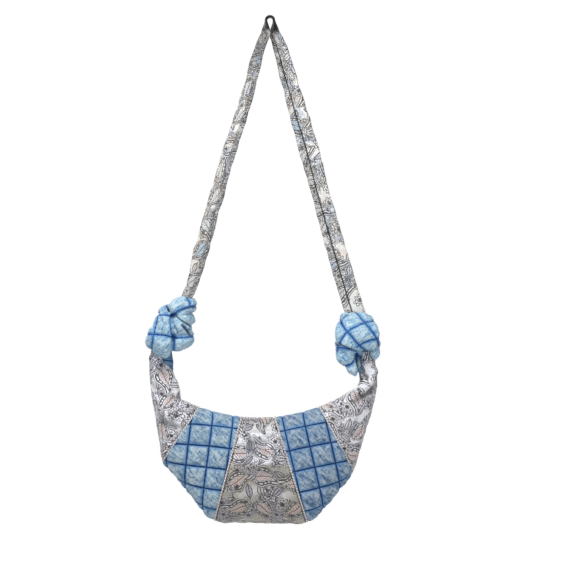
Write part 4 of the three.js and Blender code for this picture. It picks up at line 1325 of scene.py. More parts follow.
def strap_route():
    """Even lengths from the left knot over the hook to the right one, and the strap's places there."""
    rows = np.vstack([leg_places(LEFT_LEG), crown_places(), leg_places(RIGHT_LEG)])
    rows[:, 0] -= PINCH * np.sign(rows[:, 0]) * pinched(rows[:, 1])
    measure = lengths_along(rows[:, :2])
    wanted = np.linspace(0, measure[-1], int(measure[-1] / STRAP_SPACING))
    return wanted, at_lengths(rows, measure, wanted)


print("the strap runs for", round(strap_route()[0][-1]), "mm")

# %% [markdown]
# A flattened round section is laid at each place of the way and turned with it. The seam is
# a groove along one face, and one long fold runs along the other.

# %% Strap
STRAP_COLUMNS = 45
STRAP_FULLNESS = 1.6
STRAP_SQUEEZE = 1.2
STRAP_SEAM = 0.24  # places across the strap, as shares of its half width
STRAP_FOLD = 0.3
SEAM_DEPTH, SEAM_WIDTH = 1.3, 1.1
FOLD_DEPTH, FOLD_WIDTH = 1.4, 1.8
CREASE_DEPTH = 0.75


def strap_cloth():
    """The strap's points, their places on the flat cloth, and where its seam, fold and ends are."""
    measure, route = strap_route()
    nought = np.zeros(len(route))
    heights = route[:, 1]
    heading = unit(np.gradient(route[:, :2], axis=0))
    along = np.column_stack([heading[:, 0], nought, heading[:, 1]])
    sway = 3 * ripples(0, measure, 5, 1, 60) * np.clip(-heights / 60, 0, 1)
    turns = np.radians(route[:, 2] + sway)
    straight = np.array([0, 1.0, 0])
    across = straight * np.cos(turns)[:, None] + np.cross(along, straight) * np.sin(turns)[:, None]
    up = np.cross(along, across)

    away = np.clip((-heights - 8) / 40, 0, 1)
    half_width = STRAP_WIDTH / 2 + away * 0.9 * ripples(0, measure, 11, 1, 34)
    swell = 1 + 0.5 * ripples(0, measure, 17, 1, 26)
    half_thick = STRAP_THICKNESS / 2 + away * (STRAP_FULLNESS / 2) * swell
    half_thick = half_thick + STRAP_SQUEEZE * pinched(heights)
    round_it = np.linspace(0, 2 * math.pi, STRAP_COLUMNS)
    wide, thick = squared(np.cos(round_it), 0.55), squared(np.sin(round_it), 0.75)
    girth = lengths_along(np.column_stack([wide * STRAP_WIDTH / 2, thick * STRAP_THICKNESS / 2]))
    centres = np.column_stack([route[:, 0], nought, heights])
    points = centres[:, None] + across[:, None] * (half_width[:, None] * wide)[..., None]
    points = points + up[:, None] * (half_thick[:, None] * thick)[..., None]

    u, v = np.meshgrid(girth, measure)
    creases = ripples(u, v, 23, 9, 55) + 0.5 * ripples(u, v, 29, 5, 24)
    relief = CREASE_DEPTH * creases * np.abs(thick) ** 0.5 * away[:, None]
    seam = np.where(thick < 0, bell((wide - STRAP_SEAM) * STRAP_WIDTH / 2, SEAM_WIDTH), 0)
    relief -= SEAM_DEPTH * seam[None] * away[:, None]
    fold = np.where(thick > 0, bell((wide + STRAP_FOLD) * STRAP_WIDTH / 2, FOLD_WIDTH), 0)
    relief -= FOLD_DEPTH * fold[None] * (away * (0.8 + 0.5 * ripples(0, measure, 41, 1, 40)))[:, None]
    points = points + up[:, None] * (np.sign(thick) * relief)[..., None]
    points[:, -1] = points[:, 0]
    middle = STRAP_COLUMNS // 2
    seam_place = np.interp(STRAP_SEAM, wide[middle:], girth[middle:])
    fold_place = np.interp(STRAP_FOLD, -wide[:middle], girth[:middle])
    landmarks = [float(length) for length in (seam_place, fold_place, girth[-1], measure[-1])]
    return points, np.stack([u, v], axis=-1), landmarks


strap_points, strap_flats, STRAP_LANDMARKS = strap_cloth()
pieces["strap_cloth"] = roll_mesh("strap_cloth", strap_points, strap_flats)
pieces["strap_cloth"].data.shade_smooth()
print("strap:", round(STRAP_LANDMARKS[-1]), "mm long,", round(STRAP_LANDMARKS[-2]), "mm round")

# %% [markdown]
# Denim faces the inner edge of each neck, and its fold goes over from the front to the back.
# The gathered top of the neck lies inside, where it goes up into the knot.

# %% Necks
FACING_THICKNESS = 2.4
FACING_ROWS = 60
FACING_COLUMNS = 14
FACING_WRINKLES = 0.35
NECK_HALF_DEPTH = 9.0
PADDING_INSET = 2.6


def neck_facing(name, start, end):
    """The denim strip over a neck's inner edge, from its front wing to its back wing."""
    rows, flats = [], []
    for station in np.linspace(start, end, FACING_ROWS):
        first = facing_edge(station) + SEAM_MARGIN
        front, flat = line_at(station, first, CREST, FACING_COLUMNS, -1)
        back, _ = line_at(station, first, CREST, FACING_COLUMNS, 1)
        rows.append(np.vstack([front[:-1], front[-1] * (1, 0, 1), back[:-1][::-1]]))
        flats.append(np.vstack([flat, flat[:-1][::-1] * (-1, 1) + (2 * flat[-1][0], 0)]))
    points, flats = np.array(rows), np.array(flats)
    wrinkles = FACING_WRINKLES * ripples(flats[..., 0], flats[..., 1], 31, 9, 30)
    inwards = unit(np.cross(np.gradient(points, axis=0), np.gradient(points, axis=1)))
    points = points + inwards * wrinkles[..., None]
    piece = make(name, points, grid_faces(*points.shape[:2]), flats)
    middle = piece.data.polygons[len(piece.data.polygons) // 2]
    bag_side = -1 if start < LEFT_CORNER else 1
    if middle.normal[0] * bag_side > 0:
        piece.data.flip_normals()
    apply(piece, "SOLIDIFY", thickness=FACING_THICKNESS * MM, offset=-1)
    piece.data.shade_smooth()
    return piece


def neck_padding(name, station):
    """The padding gathered at the neck's top: a full roll that lies along the fold line."""
    inner, outer, _ = ends_of(station)
    middle = (inner[0] + outer[0]) / 2
    half = abs(inner[0] - outer[0]) / 2 - PADDING_INSET
    along = np.linspace(-1, 1, 40)
    turns = np.linspace(0, 2 * math.pi, 49)
    fullness = np.clip(1 - np.abs(along) ** 2.4, 0.01, 1) ** (1 / 2.2)
    radius = ((NECK_HALF_DEPTH - PADDING_INSET) * fullness)[:, None]
    gathers = 1 + 0.06 * np.sin(9 * turns) * (1 - along[:, None] ** 2)
    x = middle + half * along[:, None] * np.ones_like(turns)
    y = radius * np.cos(turns) * gathers
    z = FOLD_Z + radius * np.sin(turns) * gathers
    points = np.stack([x, y, z], axis=-1)
    points[:, -1] = points[:, 0]
    flats = np.stack(np.meshgrid(turns * NECK_HALF_DEPTH, along * half), axis=-1)
    piece = roll_mesh(name, points, flats)
    piece.data.shade_smooth()
    return piece


pieces["left_neck_denim"] = neck_facing("left_neck_denim", -KNOT_REACH, LEFT_CORNER)
pieces["right_neck_denim"] = neck_facing("right_neck_denim", LAST + KNOT_REACH, RIGHT_CORNER)
pieces["left_neck_padding"] = neck_padding("left_neck_padding", 0)
pieces["right_neck_padding"] = neck_padding("right_neck_padding", LAST)
print("necks:", [name for name in pieces if "neck" in name])

# %% [markdown]
# A thin pale piping, a cord with cloth round it, stands in each of the four seams, front
# and back. A curve with a round bevel would look the same, but a tube built from rings
# keeps its own coordinates along the cord, which the twist in its finish follows.

# %% Piping
PIPING_RADIUS = 1.1
PIPING_LIFT = -0.28  # its middle lies a little under the cloth's face
PIPING_START, PIPING_END = 0.004, 0.985
PIPING_POINTS = 130


def tube(name, path, radius, sides=10):
    """A closed round tube along a path."""
    along = unit(np.gradient(path, axis=0))
    first = unit(np.cross(along, (1.0, 0.03, 0.02)))
    second = np.cross(along, first)
    turns = np.linspace(0, 2 * math.pi, sides + 1)[:, None]
    points = path[:, None] + radius * (first[:, None] * np.cos(turns) + second[:, None] * np.sin(turns))
    points[:, -1] = points[:, 0]
    flats = np.stack(np.meshgrid(turns[:, 0] * radius, lengths_along(path)), axis=-1)
    piece = roll_mesh(name, points, flats)
    piece.data.shade_smooth()
    return piece


def seam_path(station, side):
    """The path of a seam's piping on the shell."""
    reach = (PIPING_START, PIPING_END, PIPING_POINTS, side)
    path, beside = [line_at(near, *reach)[0] for near in (station, station + 0.05)]
    return path + grid_normals(np.stack([path, beside]), side)[0] * PIPING_LIFT


for view, side in SIDES.items():
    for seam, station in SEAM_STATIONS.items():
        name = f"{view}_{seam}_piping"
        pieces[name] = tube(name, seam_path(station, side), PIPING_RADIUS)
        print(name, round(lengths_along(seam_path(station, side))[-1]), "mm")


# %% [markdown]
# Beside each seam the jacquard has a row of dark stitches, which holds the seam's edges down,
# and another row holds the hem along the mouth. They follow the panel's own relief.

# %% Topstitching
TOPSTITCH_OFFSET = 2.3
HEM_STITCH_SHARE = 0.66


def row_inside(points, distance, from_end):
    """The path on a grid that runs beside its first or last row, a distance from it."""
    grid = points[::-1] if from_end else points
    return np.array([at_lengths(row, lengths_along(row), distance) for row in grid.transpose(1, 0, 2)])


def topstitch(name, points, side, seams, shares):
    """Dark stitches beside the seams of a jacquard panel and along its hem."""
    normals = grid_normals(points, side)
    rows = []
    kept = slice(2, int(points.shape[1] * 0.93))
    for seam in seams:
        path = row_inside(points, TOPSTITCH_OFFSET, seam == "last")
        edge = normals[-2 if seam == "last" else 1]
        rows.append((path[kept], edge[kept]))
    if shares is not None:
        column = int(np.argmin(np.abs(shares - HEM_STITCH_SHARE)))
        inside = slice(3, points.shape[0] - 3)
        rows.append((points[inside, column], normals[inside, column]))
    return sew(name, rows, pitch=4.4, length=3.0, radius=0.5)


TOPSTITCHED = {"left_wing": ["last"], "centre_panel": ["first", "last"], "right_wing": ["first"]}
for view, side in SIDES.items():
    for part, seams in TOPSTITCHED.items():
        name = f"{view}_{part}_cloth"
        hem = cloth_shares[name] if part == "centre_panel" else None
        thread = topstitch(name + "_stitching", cloth_grids[name], side, seams, hem)
        pieces[thread.name] = thread
        print(thread.name, len(thread.data.polygons), "faces")


# %% [markdown]
# The zip lies round the mouth's centre, sunk between the lips. Its tapes are woven strips,
# bent round the same arc as the teeth, and a tab of cloth covers each of its ends.

# %% Zip
TAPE_THICKNESS = 0.8
TAPE_INNER = 4.7
TAPE_OUTER = 12.0
CHAIN_DEPTH = 8.5
ZIP_START = -22.3
ZIP_END = 30.0
TAB_LENGTH = 12.0
TAB_THICKNESS = 1.1
TAB_HALF_WIDTH = 6.4
FIT_GAP = 0.3


def zip_degrees(length):
    return math.degrees(length / (MOUTH_RADIUS + CHAIN_DEPTH))


def arc_grid(start, end, near, far, depth, rows, columns):
    """A strip round the mouth's centre, between two angles and two distances from the middle."""
    points, flats = [], []
    outs = np.linspace(near, far, columns)
    for degrees in np.linspace(start, end, rows):
        x, z = mouth(degrees, depth)
        points.append([(x, y, z) for y in outs])
        flats.append([(y, math.radians(degrees) * MOUTH_RADIUS) for y in outs])
    return np.array(points), np.array(flats)


def strip(name, grid, thickness):
    """A closed strip of cloth from the grid of its upper face."""
    points, flats = grid
    piece = make(name, points, grid_faces(*points.shape[:2]), flats)
    if piece.data.polygons[0].normal[2] < 0:
        piece.data.flip_normals()
    apply(piece, "SOLIDIFY", thickness=thickness * MM, offset=-1)
    piece.data.shade_smooth()
    return piece


tape_depth = CHAIN_DEPTH - TAPE_THICKNESS / 2
tab_depth = tape_depth - FIT_GAP - TAB_THICKNESS
tab_near, tab_far = zip_degrees(FIT_GAP), zip_degrees(FIT_GAP + TAB_LENGTH)
TAB_ANGLES = {
    "left": (ZIP_START - tab_far, ZIP_START - tab_near),
    "right": (ZIP_END + tab_near, ZIP_END + tab_far),
}
for view, side in SIDES.items():
    start, end = TAB_ANGLES["left"][0], TAB_ANGLES["right"][1]
    grid = arc_grid(start, end, side * TAPE_INNER, side * TAPE_OUTER, tape_depth, 240, 8)
    pieces[f"{view}_tape"] = strip(f"{view}_tape", grid, TAPE_THICKNESS)
for hand, (near, far) in TAB_ANGLES.items():
    grid = arc_grid(near, far, -TAB_HALF_WIDTH, TAB_HALF_WIDTH, tab_depth, 14, 14)
    pieces[f"{hand}_zip_tab"] = strip(f"{hand}_zip_tab", grid, TAB_THICKNESS)
chain_length = math.radians(ZIP_END - ZIP_START) * (MOUTH_RADIUS + CHAIN_DEPTH)
print("zip chain:", round(chain_length), "mm")

# %% [markdown]
# The lining hangs inside the shell like a second, looser bag. Its upper edge is sewn to the
# hem under the tapes, so its last rows run straight from the shell to that line.

# %% Lining
LINING_DEPTH = 5.0
LINING_THICKNESS = 1.0
LINING_SHARE = 0.6  # the share of a section that the lining follows
LINING_ROWS = 100
LINING_COLUMNS = 60
UPPER_COLUMNS = 14


def lining(name, side):
    """One half of the lining."""
    start, end = LEFT_CORNER + 1, RIGHT_CORNER - 1
    size = (LINING_ROWS, LINING_COLUMNS)
    points, flats, _ = panel_grid(start, end, side, lambda station: LINING_SHARE, *size)
    points = points - grid_normals(points, side) * LINING_DEPTH
    fade = np.sin(np.linspace(0, math.pi, LINING_COLUMNS))
    points[..., 1] -= side * 0.5 * fade * (1 + ripples(flats[..., 0], flats[..., 1], 41, 24, 50))
    points[..., 1] = side * np.maximum(points[..., 1] * side, SEAM_HALF_GAP)
    foot = HEM_DEPTH + 2 * FIT_GAP + TAPE_THICKNESS
    top = []
    for station in np.linspace(start, end, LINING_ROWS):
        inner = ends_of(station)[0]
        degrees = math.degrees(math.atan2(inner[0] - MOUTH_CENTRE[0], MOUTH_CENTRE[1] - inner[1]))
        x, z = mouth(degrees, foot)
        top.append((x, side * (TAPE_OUTER + FIT_GAP), z))
    shares = np.linspace(0, 1, UPPER_COLUMNS)[1:, None]
    upper = points[:, -1:] * (1 - shares) + np.array(top)[:, None] * shares
    upper_flats = flats[:, -1:] + (flats[:, -1:] - flats[:, -2:-1]) * (shares * UPPER_COLUMNS)
    points, flats = np.hstack([points, upper]), np.hstack([flats, upper_flats])
    return cloth_piece(name, points, flats, LINING_THICKNESS, side)


for view, side in SIDES.items():
    pieces[f"{view}_lining_cloth"] = lining(f"{view}_lining_cloth", side)
    print(f"{view} lining:", len(pieces[f"{view}_lining_cloth"].data.polygons), "faces")


# %% [markdown]
# The zip's metal pieces take their form from the solid model. Cast metal has no knife
# edges, so a Bevel modifier rounds them, and the light then draws a fine line along each.

# %% Metal
BEVEL_ANGLE = 40.0
SMOOTH_ANGLE = 35.0


def rounded(name, node, width):
    """A metal piece with the solid's form and rounded edges."""
    source = bpy.data.objects[node]
    piece = reworked(link(name, source.data.copy()), turn=False)
    piece.matrix_world = source.matrix_world.copy()
    limit = math.radians(BEVEL_ANGLE)
    apply(piece, "BEVEL", width=width * MM, segments=2, limit_method="ANGLE", angle_limit=limit)
    bpy.context.view_layer.objects.active = piece
    piece.select_set(True)
    bpy.ops.object.shade_smooth_by_angle(angle=math.radians(SMOOTH_ANGLE))
    piece.select_set(False)
    return piece


METAL_NODES = {
    "zip_teeth_front": 0.18,
    "zip_teeth_back": 0.18,
    "zip_top_stop_front": 0.3,
    "zip_top_stop_back": 0.3,
    "zip_bottom_stop": 0.4,
    "zip_slider": 0.22,
    "zip_pull": 0.25,
}
for node, width in METAL_NODES.items():
    name = node + "_metal"
    pieces[name] = rounded(name, node, width)
    print(name, len(pieces[name].data.polygons), "faces")


# %% [markdown]
# Denim that was washed with stones is never one blue. It has pale and mid blue patches,
# scratches along both diagonals and soft creases, and the dye stays beside the stitches,
# where the stones didn't reach. Noise that is stretched along a turn draws all of these, and
# the twill itself is a wave of the cloth's true pitch.

# %% Denim
PATCH_SIZE = 9
CREASE_SIZE = 5.5
SCRATCH_SIZE = 1.5
YARN_SIZE = 0.9
TWILL_PITCH = 1.3
DYE_BLUE = linear(98, 160, 218)  # what the wash left beside the stitches
# The painted shade in a knot's sunk folds.
CREASE_SHADE_BLUE = linear(20, 48, 92)


def panel_quilting(finish, quilt):
    """The cloth's place on a panel, and how far it is from the nearest line of its quilting."""
    place = finish.cloth_place()
    u, v = finish.parts(place)
    turn, across, down = quilt
    turn = math.radians(turn)
    along = u * math.cos(turn) + v * math.sin(turn) - across
    below = v * math.cos(turn) - u * math.sin(turn) - down
    half = QUILT_PITCH / 2
    gap = ((along + half).modulo(QUILT_PITCH) - half).size()
    return place, gap.min(((below + half).modulo(QUILT_PITCH) - half).size())


def knot_quilting(finish):
    """The same for a knot, whose skin carries the distances."""
    upright = (math.radians(90), 0, 0)
    mapping = finish.node("ShaderNodeMapping", None, finish.object_place(), None, upright, (1 / MM,) * 3)
    return mapping.outputs[0], finish.stored("gap")


def denim_finish(name, quilt, colours):
    """Washed denim in five blues. A quilt gives the turn and place of a panel's lines."""
    chalk, pale, middle, deep, line = colours
    finish = Finish(name)
    place, gap = panel_quilting(finish, quilt) if quilt else knot_quilting(finish)
    u, v = finish.parts(place)
    patches = finish.noise(place, PATCH_SIZE, 2, 0.55)
    bent = finish.warped(place, 13, 2.6)
    scratches = finish.noise(bent, SCRATCH_SIZE, 1, 0.5, (math.radians(45), 0.11)).step(0.38, 0.66)
    crossing = finish.noise(bent, SCRATCH_SIZE, 1, 0.5, (math.radians(-42), 0.14)).step(0.38, 0.66)
    creases = finish.noise(bent, CREASE_SIZE, 2, 0.5, (math.radians(52), 0.3))
    yarn = finish.noise(place, YARN_SIZE, 1, 0.5)
    near_line = 1.0 - gap.step(1.0, 5.5)
    wash = 0.68 + 1.0 * (patches - 0.5) + 0.56 * (scratches - 0.5) + 0.44 * (crossing - 0.5)
    wash = wash + 1.8 * (creases - 0.5) + 1.0 * (yarn - 0.5) - 0.1 * near_line
    stops = [(0.0, deep), (0.34, middle), (0.68, pale), (1.0, chalk)]
    washed = finish.node("ShaderNodeValToRGB", {"stops": stops}, wash.clip())
    colour = finish.mix(0.72 * near_line, washed.outputs[0], DYE_BLUE)
    colour = finish.mix(0.95 * (1.0 - gap.step(0.5, 1.6)), colour, line)
    # Painted shade in a knot's sunk folds.
    if not quilt:
        colour = finish.mix(0.85 * finish.stored("hollow").step(0.1, 1.0), colour, CREASE_SHADE_BLUE)
    twill = ((u + v * 1.4) * (2 * math.pi / TWILL_PITCH)).sin()
    height = 0.4 * twill + 1.2 * yarn + 2.2 * scratches + 1.8 * crossing + 7.0 * creases
    finish.set(Base_Color=colour, Roughness=0.86, Normal=finish.bump(height, 0.5, 0.9))
    finish.set(Specular_IOR_Level=0.2, Sheen_Weight=0.05, Sheen_Roughness=0.5)
    return finish.material


# %% [markdown]
# The jacquard's pattern is drawn by numbers, which keeps its threads sharp from near by.
# Voronoi cells scatter places over the cloth, each with its own turn, and the motif in a
# cell comes from the distance to a drop, a flower or a leaf. Lines at several distances
# give the nested outlines of a paisley, and small spirals give the scrollwork between.

# %% Motifs
class Motifs:
    """One layer of motifs: for each place on the cloth, where it is in its own motif."""

    def __init__(self, finish, place, size, spread):
        sockets = {"Scale": 1 / size, "Randomness": spread}
        cells = finish.node("ShaderNodeTexVoronoi", {"voronoi_dimensions": "2D"}, place, **sockets)
        chance = finish.node("ShaderNodeSeparateColor", None, cells.outputs["Color"])
        turn = finish.value(chance, 0) * (2 * math.pi)
        self.kind = finish.value(chance, 1)
        self.tint = finish.value(chance, 2)
        x, y = finish.parts(finish.vector("SUBTRACT", place, cells.outputs["Position"]))
        self.x = x * turn.cos() + y * turn.sin()
        self.y = y * turn.cos() - x * turn.sin()
        self.radius = (self.x * self.x + self.y * self.y).root()
        self.angle = self.x.maths("ARCTAN2", self.y, self.x)

    def paisley(self, length, width):
        """How far inside a drop with a bent tip a place is, in millimetres."""
        tip = self.y.max(0.0)
        x = self.x - tip * tip * (0.55 / length)
        c = (self.y / length).max(-1.0).min(1.0)
        reach = (1.0 - c * c).max(0.0).root() * (0.62 - 0.38 * c)
        return reach * (width * 1.45) - x.size() - ((self.y.size() - length).max(0.0))

    def flower(self, radius, petals):
        """How far inside a flower a place is, and how near the middle of a petal."""
        lobe = (self.angle * (petals / 2)).cos().size()
        return radius * (0.58 + 0.42 * lobe) - self.radius, lobe

    def leaf(self, length, width):
        """How far inside a leaf a place is."""
        c = self.y / length
        return (1.0 - c * c) * width - self.x.size()

    def veins(self, slant, pitch, width, bold):
        """A leaf's middle vein and the veins that slant away from it."""
        across = self.x.size()
        side_veins = ((self.y + across * slant) / pitch).fraction().line(0.5, width * bold)
        return (1.0 - across.step(0.3 * bold, 0.8 * bold)).max(0.8 * side_veins)

    def curl(self, pitch, reach):
        """1 on a spiral line that ends at a reach."""
        turn = (self.radius / pitch + self.angle / (2 * math.pi)).fraction()
        return turn.line(0.5, 0.4) * (1.0 - self.radius.step(0.85 * reach, reach))


# %% [markdown]
# Two layers carry the pattern. Large drops with a bent tip come first, and flowers and
# leaves fill the room between them. Each layer also gives its own dark lines.

# %% Drops and sprigs
DROP_SPACING, DROP_LENGTH, DROP_WIDTH = 40, 18, 11
SPRIG_SPACING = 21
FLOWER_RADIUS, PETALS = 8.5, 7
LEAF_LENGTH, LEAF_WIDTH = 9.5, 3.8


def paisleys(finish, place, flecks, bold):
    """The large layer: how far inside a drop a place is, and the drop's dark lines."""
    large = Motifs(finish, place, DROP_SPACING, 0.35)
    drop = large.paisley(DROP_LENGTH, DROP_WIDTH) + (flecks - 0.5) * 1.6
    rims = drop.line(0.4, 1.7 * bold).max(drop.line(3.6, 1.2 * bold))
    rims = rims.max(0.8 * drop.line(-2.3, 1.1 * bold))
    ring = drop.step(1.2, 1.6) * (1.0 - drop.step(3.0, 3.4))
    hatch = ring * (large.angle * 11.0).sin().step(0.0, 0.5)
    veins = drop.step(4.2, 4.8) * large.veins(1.1, 3.4, 0.34, bold)
    return drop, rims.max(0.8 * hatch).max(0.9 * veins)


def sprigs(finish, place, outside, bold):
    """The small layer between the drops, of flowers and leaves, with its petals, tint and lines."""
    small = Motifs(finish, place, SPRIG_SPACING, 0.5)
    is_flower = small.kind.step(0.58, 0.6)
    flower, lobe = small.flower(FLOWER_RADIUS, PETALS)
    leaf = small.leaf(LEAF_LENGTH, LEAF_WIDTH)
    sprig = flower * is_flower + leaf * (1.0 - is_flower) - 5.0 * (1.0 - outside)
    petals = sprig.step(0.0, 0.6)
    rings = small.radius.line(3.0, 0.9 * bold).max(small.radius.line(5.4, 0.8 * bold))
    veins = is_flower * (1.0 - lobe.step(0.1, 0.4)).max(rings)
    veins = veins + (1.0 - is_flower) * small.veins(1.2, 2.8, 0.4, 1.0)
    rim = sprig.line(0.0, 1.4 * bold).max(petals * veins)
    heart = is_flower * petals * (1.0 - small.radius.step(1.8, 2.8))
    return sprig, petals, small.tint, (0.9 * rim).max(heart)


# %% [markdown]
# A jacquard's ground is not one colour. The panels' satin gets a near-white painted
# highlight high on the bag and on the crests of its folds, and painted shade in its sunk
# folds. The strap has a print with bluish and rosy hazes, with painted shade beside its fold,
# at the top of its left leg and under the hook, and a darker print beside its seam.

# %% Grounds of the jacquards
# The near-white of the painted highlight on the satin panels.
PAINTED_HIGHLIGHT = linear(236, 237, 244)
LILAC = linear(206, 204, 230)
BLUE_HAZE = linear(150, 170, 206)
ROSE_HAZE = linear(226, 198, 180)
# The painted shade in the panels' sunk folds.
PAINTED_FOLD_SHADE = linear(96, 104, 118)
PALE_THREAD = linear(228, 228, 236)


def ground_with_painted_highlight(finish, colour, height, highlight_heights, uneven, dense, flecks):
    """Painted highlight: the satin goes near white between two pairs of heights and on the crests of the
    folds, less where they sink; dense print gets a lilac tint.
    """
    lifted = finish.stored("fold")
    highlight_share = 1.1 * height.step(*highlight_heights[:2]) - 0.6 * height.step(*highlight_heights[2:])
    highlight_share = highlight_share * (0.55 + 0.5 * uneven.step(0.40, 0.56))
    highlight_share = highlight_share + 0.9 * lifted.clip() - 0.7 * (0.0 - lifted).clip()
    colour = finish.mix(highlight_share.clip(), colour, PAINTED_HIGHLIGHT)
    return finish.mix(0.4 * dense * flecks.step(0.42, 0.56), colour, LILAC)


def hazy_ground(finish, colour, flat, flecks):
    """Two faint hazes of dye, each where the other is not."""
    hazy = finish.noise(flat, 26, 1, 0.5)
    colour = finish.mix(0.55 * hazy.step(0.50, 0.60) * flecks.step(0.38, 0.54), colour, BLUE_HAZE)
    return finish.mix(0.4 * (1.0 - hazy.step(0.36, 0.42)) * flecks.step(0.4, 0.5), colour, ROSE_HAZE)


def strap_shade(cloth_u, cloth_v):
    """Painted shade beside the strap's fold, at the top of its left leg and under the hook; a darker print
    beside its seam; and the seam's own dark line.
    """
    seam, fold, girth, length = STRAP_LANDMARKS
    beside_fold = cloth_u.step(fold - 1, fold + 3) * (1.0 - cloth_u.step(girth / 2 - 1, girth / 2 + 2))
    beside_seam = cloth_u.step(seam - 1, seam + 1)
    from_hook = cloth_v - length / 2
    left_top = from_hook.step(-130, -50) * (1.0 - from_hook.step(0, 10))
    crown = from_hook.step(-44, -16) * (1.0 - from_hook.step(10, 30))
    line = (cloth_u - seam).line(0, 2.4)
    return (0.4 * beside_fold).max(0.15 * beside_seam).max(0.5 * left_top).max(1.5 * crown), line


# %% [markdown]
# The layers come together: first the ground, then the drops and petals in paler thread, then
# the dark lines, and last the painted shade. Flecks break up the pattern's layers, as satin
# threads that lie over them do.

# %% Jacquard
CURL_SPACING, CURL_PITCH, CURL_REACH = 12, 3.6, 6.0
WARP_PITCH, WEFT_PITCH = 0.9, 0.7


def jacquard_finish(name, colours, seed, scale, highlight_heights):
    """Patterned cloth in a ground, a line, a pale, an accent and a second colour.

    highlight_heights holds the heights on the cloth where a painted highlight on the satin rises and falls,
    or is None."""
    ground, line, pale, accent, second = colours
    finish = Finish(name)
    cloth = finish.cloth_place()
    across, height = finish.parts(cloth)
    mapping = finish.node("ShaderNodeMapping", None, cloth, (*seed, 0.0), None, (1 / scale,) * 3)
    flat = mapping.outputs[0]
    flecks = finish.noise(flat, 1.7, 2, 0.7)
    uneven = finish.noise(flat, 15, 2, 0.5)
    dense = finish.noise(flat, 34, 1, 0.5).step(0.43, 0.55)
    bold = 1.0 if highlight_heights else 1.3

    place = finish.warped(flat, 15, 3.4)
    drop, drop_lines = paisleys(finish, place, flecks, bold)
    inside = drop.step(0.0, 0.7)
    outside = 1.0 - drop.step(-3.4, -2.6)
    sprig, petals, tint, sprig_lines = sprigs(finish, place, outside, bold)
    field = finish.noise(place, 9, 2, 0.4) * 7.5
    curls = Motifs(finish, place, CURL_SPACING, 0.8).curl(CURL_PITCH, CURL_REACH)
    scrolls = field.fraction().line(0.5, 0.42 * bold).max(curls)
    fine = (finish.noise(place, 5, 2, 0.5) * 6.5).fraction().line(0.5, 0.36 * bold)
    fine = fine * uneven.step(0.38, 0.50)
    free = outside * (1.0 - sprig.step(-1.6, -0.8))
    scrolls = (scrolls * (0.15 + dense)).clip().max((0.7 if highlight_heights else 0.4) * fine * dense) * free
    dark = drop_lines.max(sprig_lines).max(0.9 * scrolls)

    colour = finish.mix(0.7 * flecks.step(0.46, 0.66), ground, tuple(1.3 * c for c in ground))
    if highlight_heights:
        colour = ground_with_painted_highlight(finish, colour, height, highlight_heights, uneven, dense, flecks)
    else:
        colour = hazy_ground(finish, colour, flat, flecks)
    colour = finish.mix(0.4 * petals * flecks.step(0.34, 0.56), colour, pale)
    colour = finish.mix(0.2 * inside * flecks.step(0.3, 0.5), colour, pale)
    some = 1.0 if highlight_heights else finish.noise(flat, 52, 0, 0.5).step(0.56, 0.62)
    heartwood = 0.9 * drop.step(5.2, 7.2) if highlight_heights else 0.65 * drop.step(4.2, 4.8) * some
    colour = finish.mix(heartwood * flecks.step(0.38, 0.54), colour, accent)
    tinted = petals * tint.step(0.62, 0.66) * 0.9 * flecks.step(0.36, 0.56)
    colour = finish.mix(tinted * some, colour, second)
    if highlight_heights:
        threads = field.fraction().line(0.0, 0.3).max(drop.line(2.0, 1.4)).max(sprig.line(-1.5, 1.2))
        colour = finish.mix((threads * (0.2 + 1.2 * flecks) * 0.3).clip(), colour, PALE_THREAD)
    broken = 0.4 + 1.4 * flecks if highlight_heights else 0.05 + 1.65 * flecks
    colour = finish.mix((dark * broken).clip(), colour, line)
    # Painted shade in the panels' sunk folds.
    if highlight_heights:
        colour = finish.mix(0.5 * (0.0 - finish.stored("fold")).clip(), colour, PAINTED_FOLD_SHADE)
    else:
        # Painted shade on the strap, with its seam's dark line.
        shade, seam = strap_shade(across, height)
        colour = finish.mix((shade * 2.2 * flecks).max(0.9 * seam).clip(), colour, line)

    u, v = finish.parts(flat)
    warp = (u * (2 * math.pi / WARP_PITCH)).sin()
    weave = warp * (v * (2 * math.pi / WEFT_PITCH)).sin()
    relief = 0.3 * weave + 0.7 * inside + 0.7 * petals - 0.8 * dark + 0.6 * flecks
    rough = 0.34 + 0.2 * dark + 0.1 * inside
    finish.set(Base_Color=colour, Roughness=rough, Normal=finish.bump(relief, 0.35, 0.7))
    finish.set(Specular_IOR_Level=0.5 if highlight_heights else 0.22)
    finish.set(Coat_Weight=0.12 if highlight_heights else 0.0, Coat_Roughness=0.22)
    return finish.material


# %% [markdown]
# The other finishes are plain: sewing thread, the piping's twisted cord, the weave of the
# tapes and the lining, and nickel that is a little worn.

# %% Thread and other cloth
def thread_finish(name, colour):
    """Sewing thread with darker hollows in its twist."""
    finish = Finish(name)
    twist = finish.noise(finish.object_place(), 0.0006, 2, 0.6)
    shade = finish.mix(twist * 0.6, colour, tuple(0.45 * c for c in colour))
    finish.set(Base_Color=shade, Roughness=0.6, Normal=finish.bump(twist, 0.1, 0.4))
    return finish.material


def piping_finish():
    """A pale cord with pink flecks and a slant twist."""
    finish = Finish("pale_piping")
    place = finish.cloth_place()
    u, v = finish.parts(place)
    twist = ((v + u * 1.1) * (2 * math.pi / 4.4)).sin() * 0.5 + 0.5
    flecks = finish.noise(place, 2.4, 2, 0.6)
    colour = finish.mix(flecks.step(0.5, 0.62) * 0.6, linear(238, 234, 230), linear(214, 176, 168))
    colour = finish.mix(twist.step(0.45, 0.75) * 0.8, colour, linear(84, 68, 76))
    finish.set(Base_Color=colour, Roughness=0.6, Normal=finish.bump(twist, 0.3, 0.7))
    return finish.material


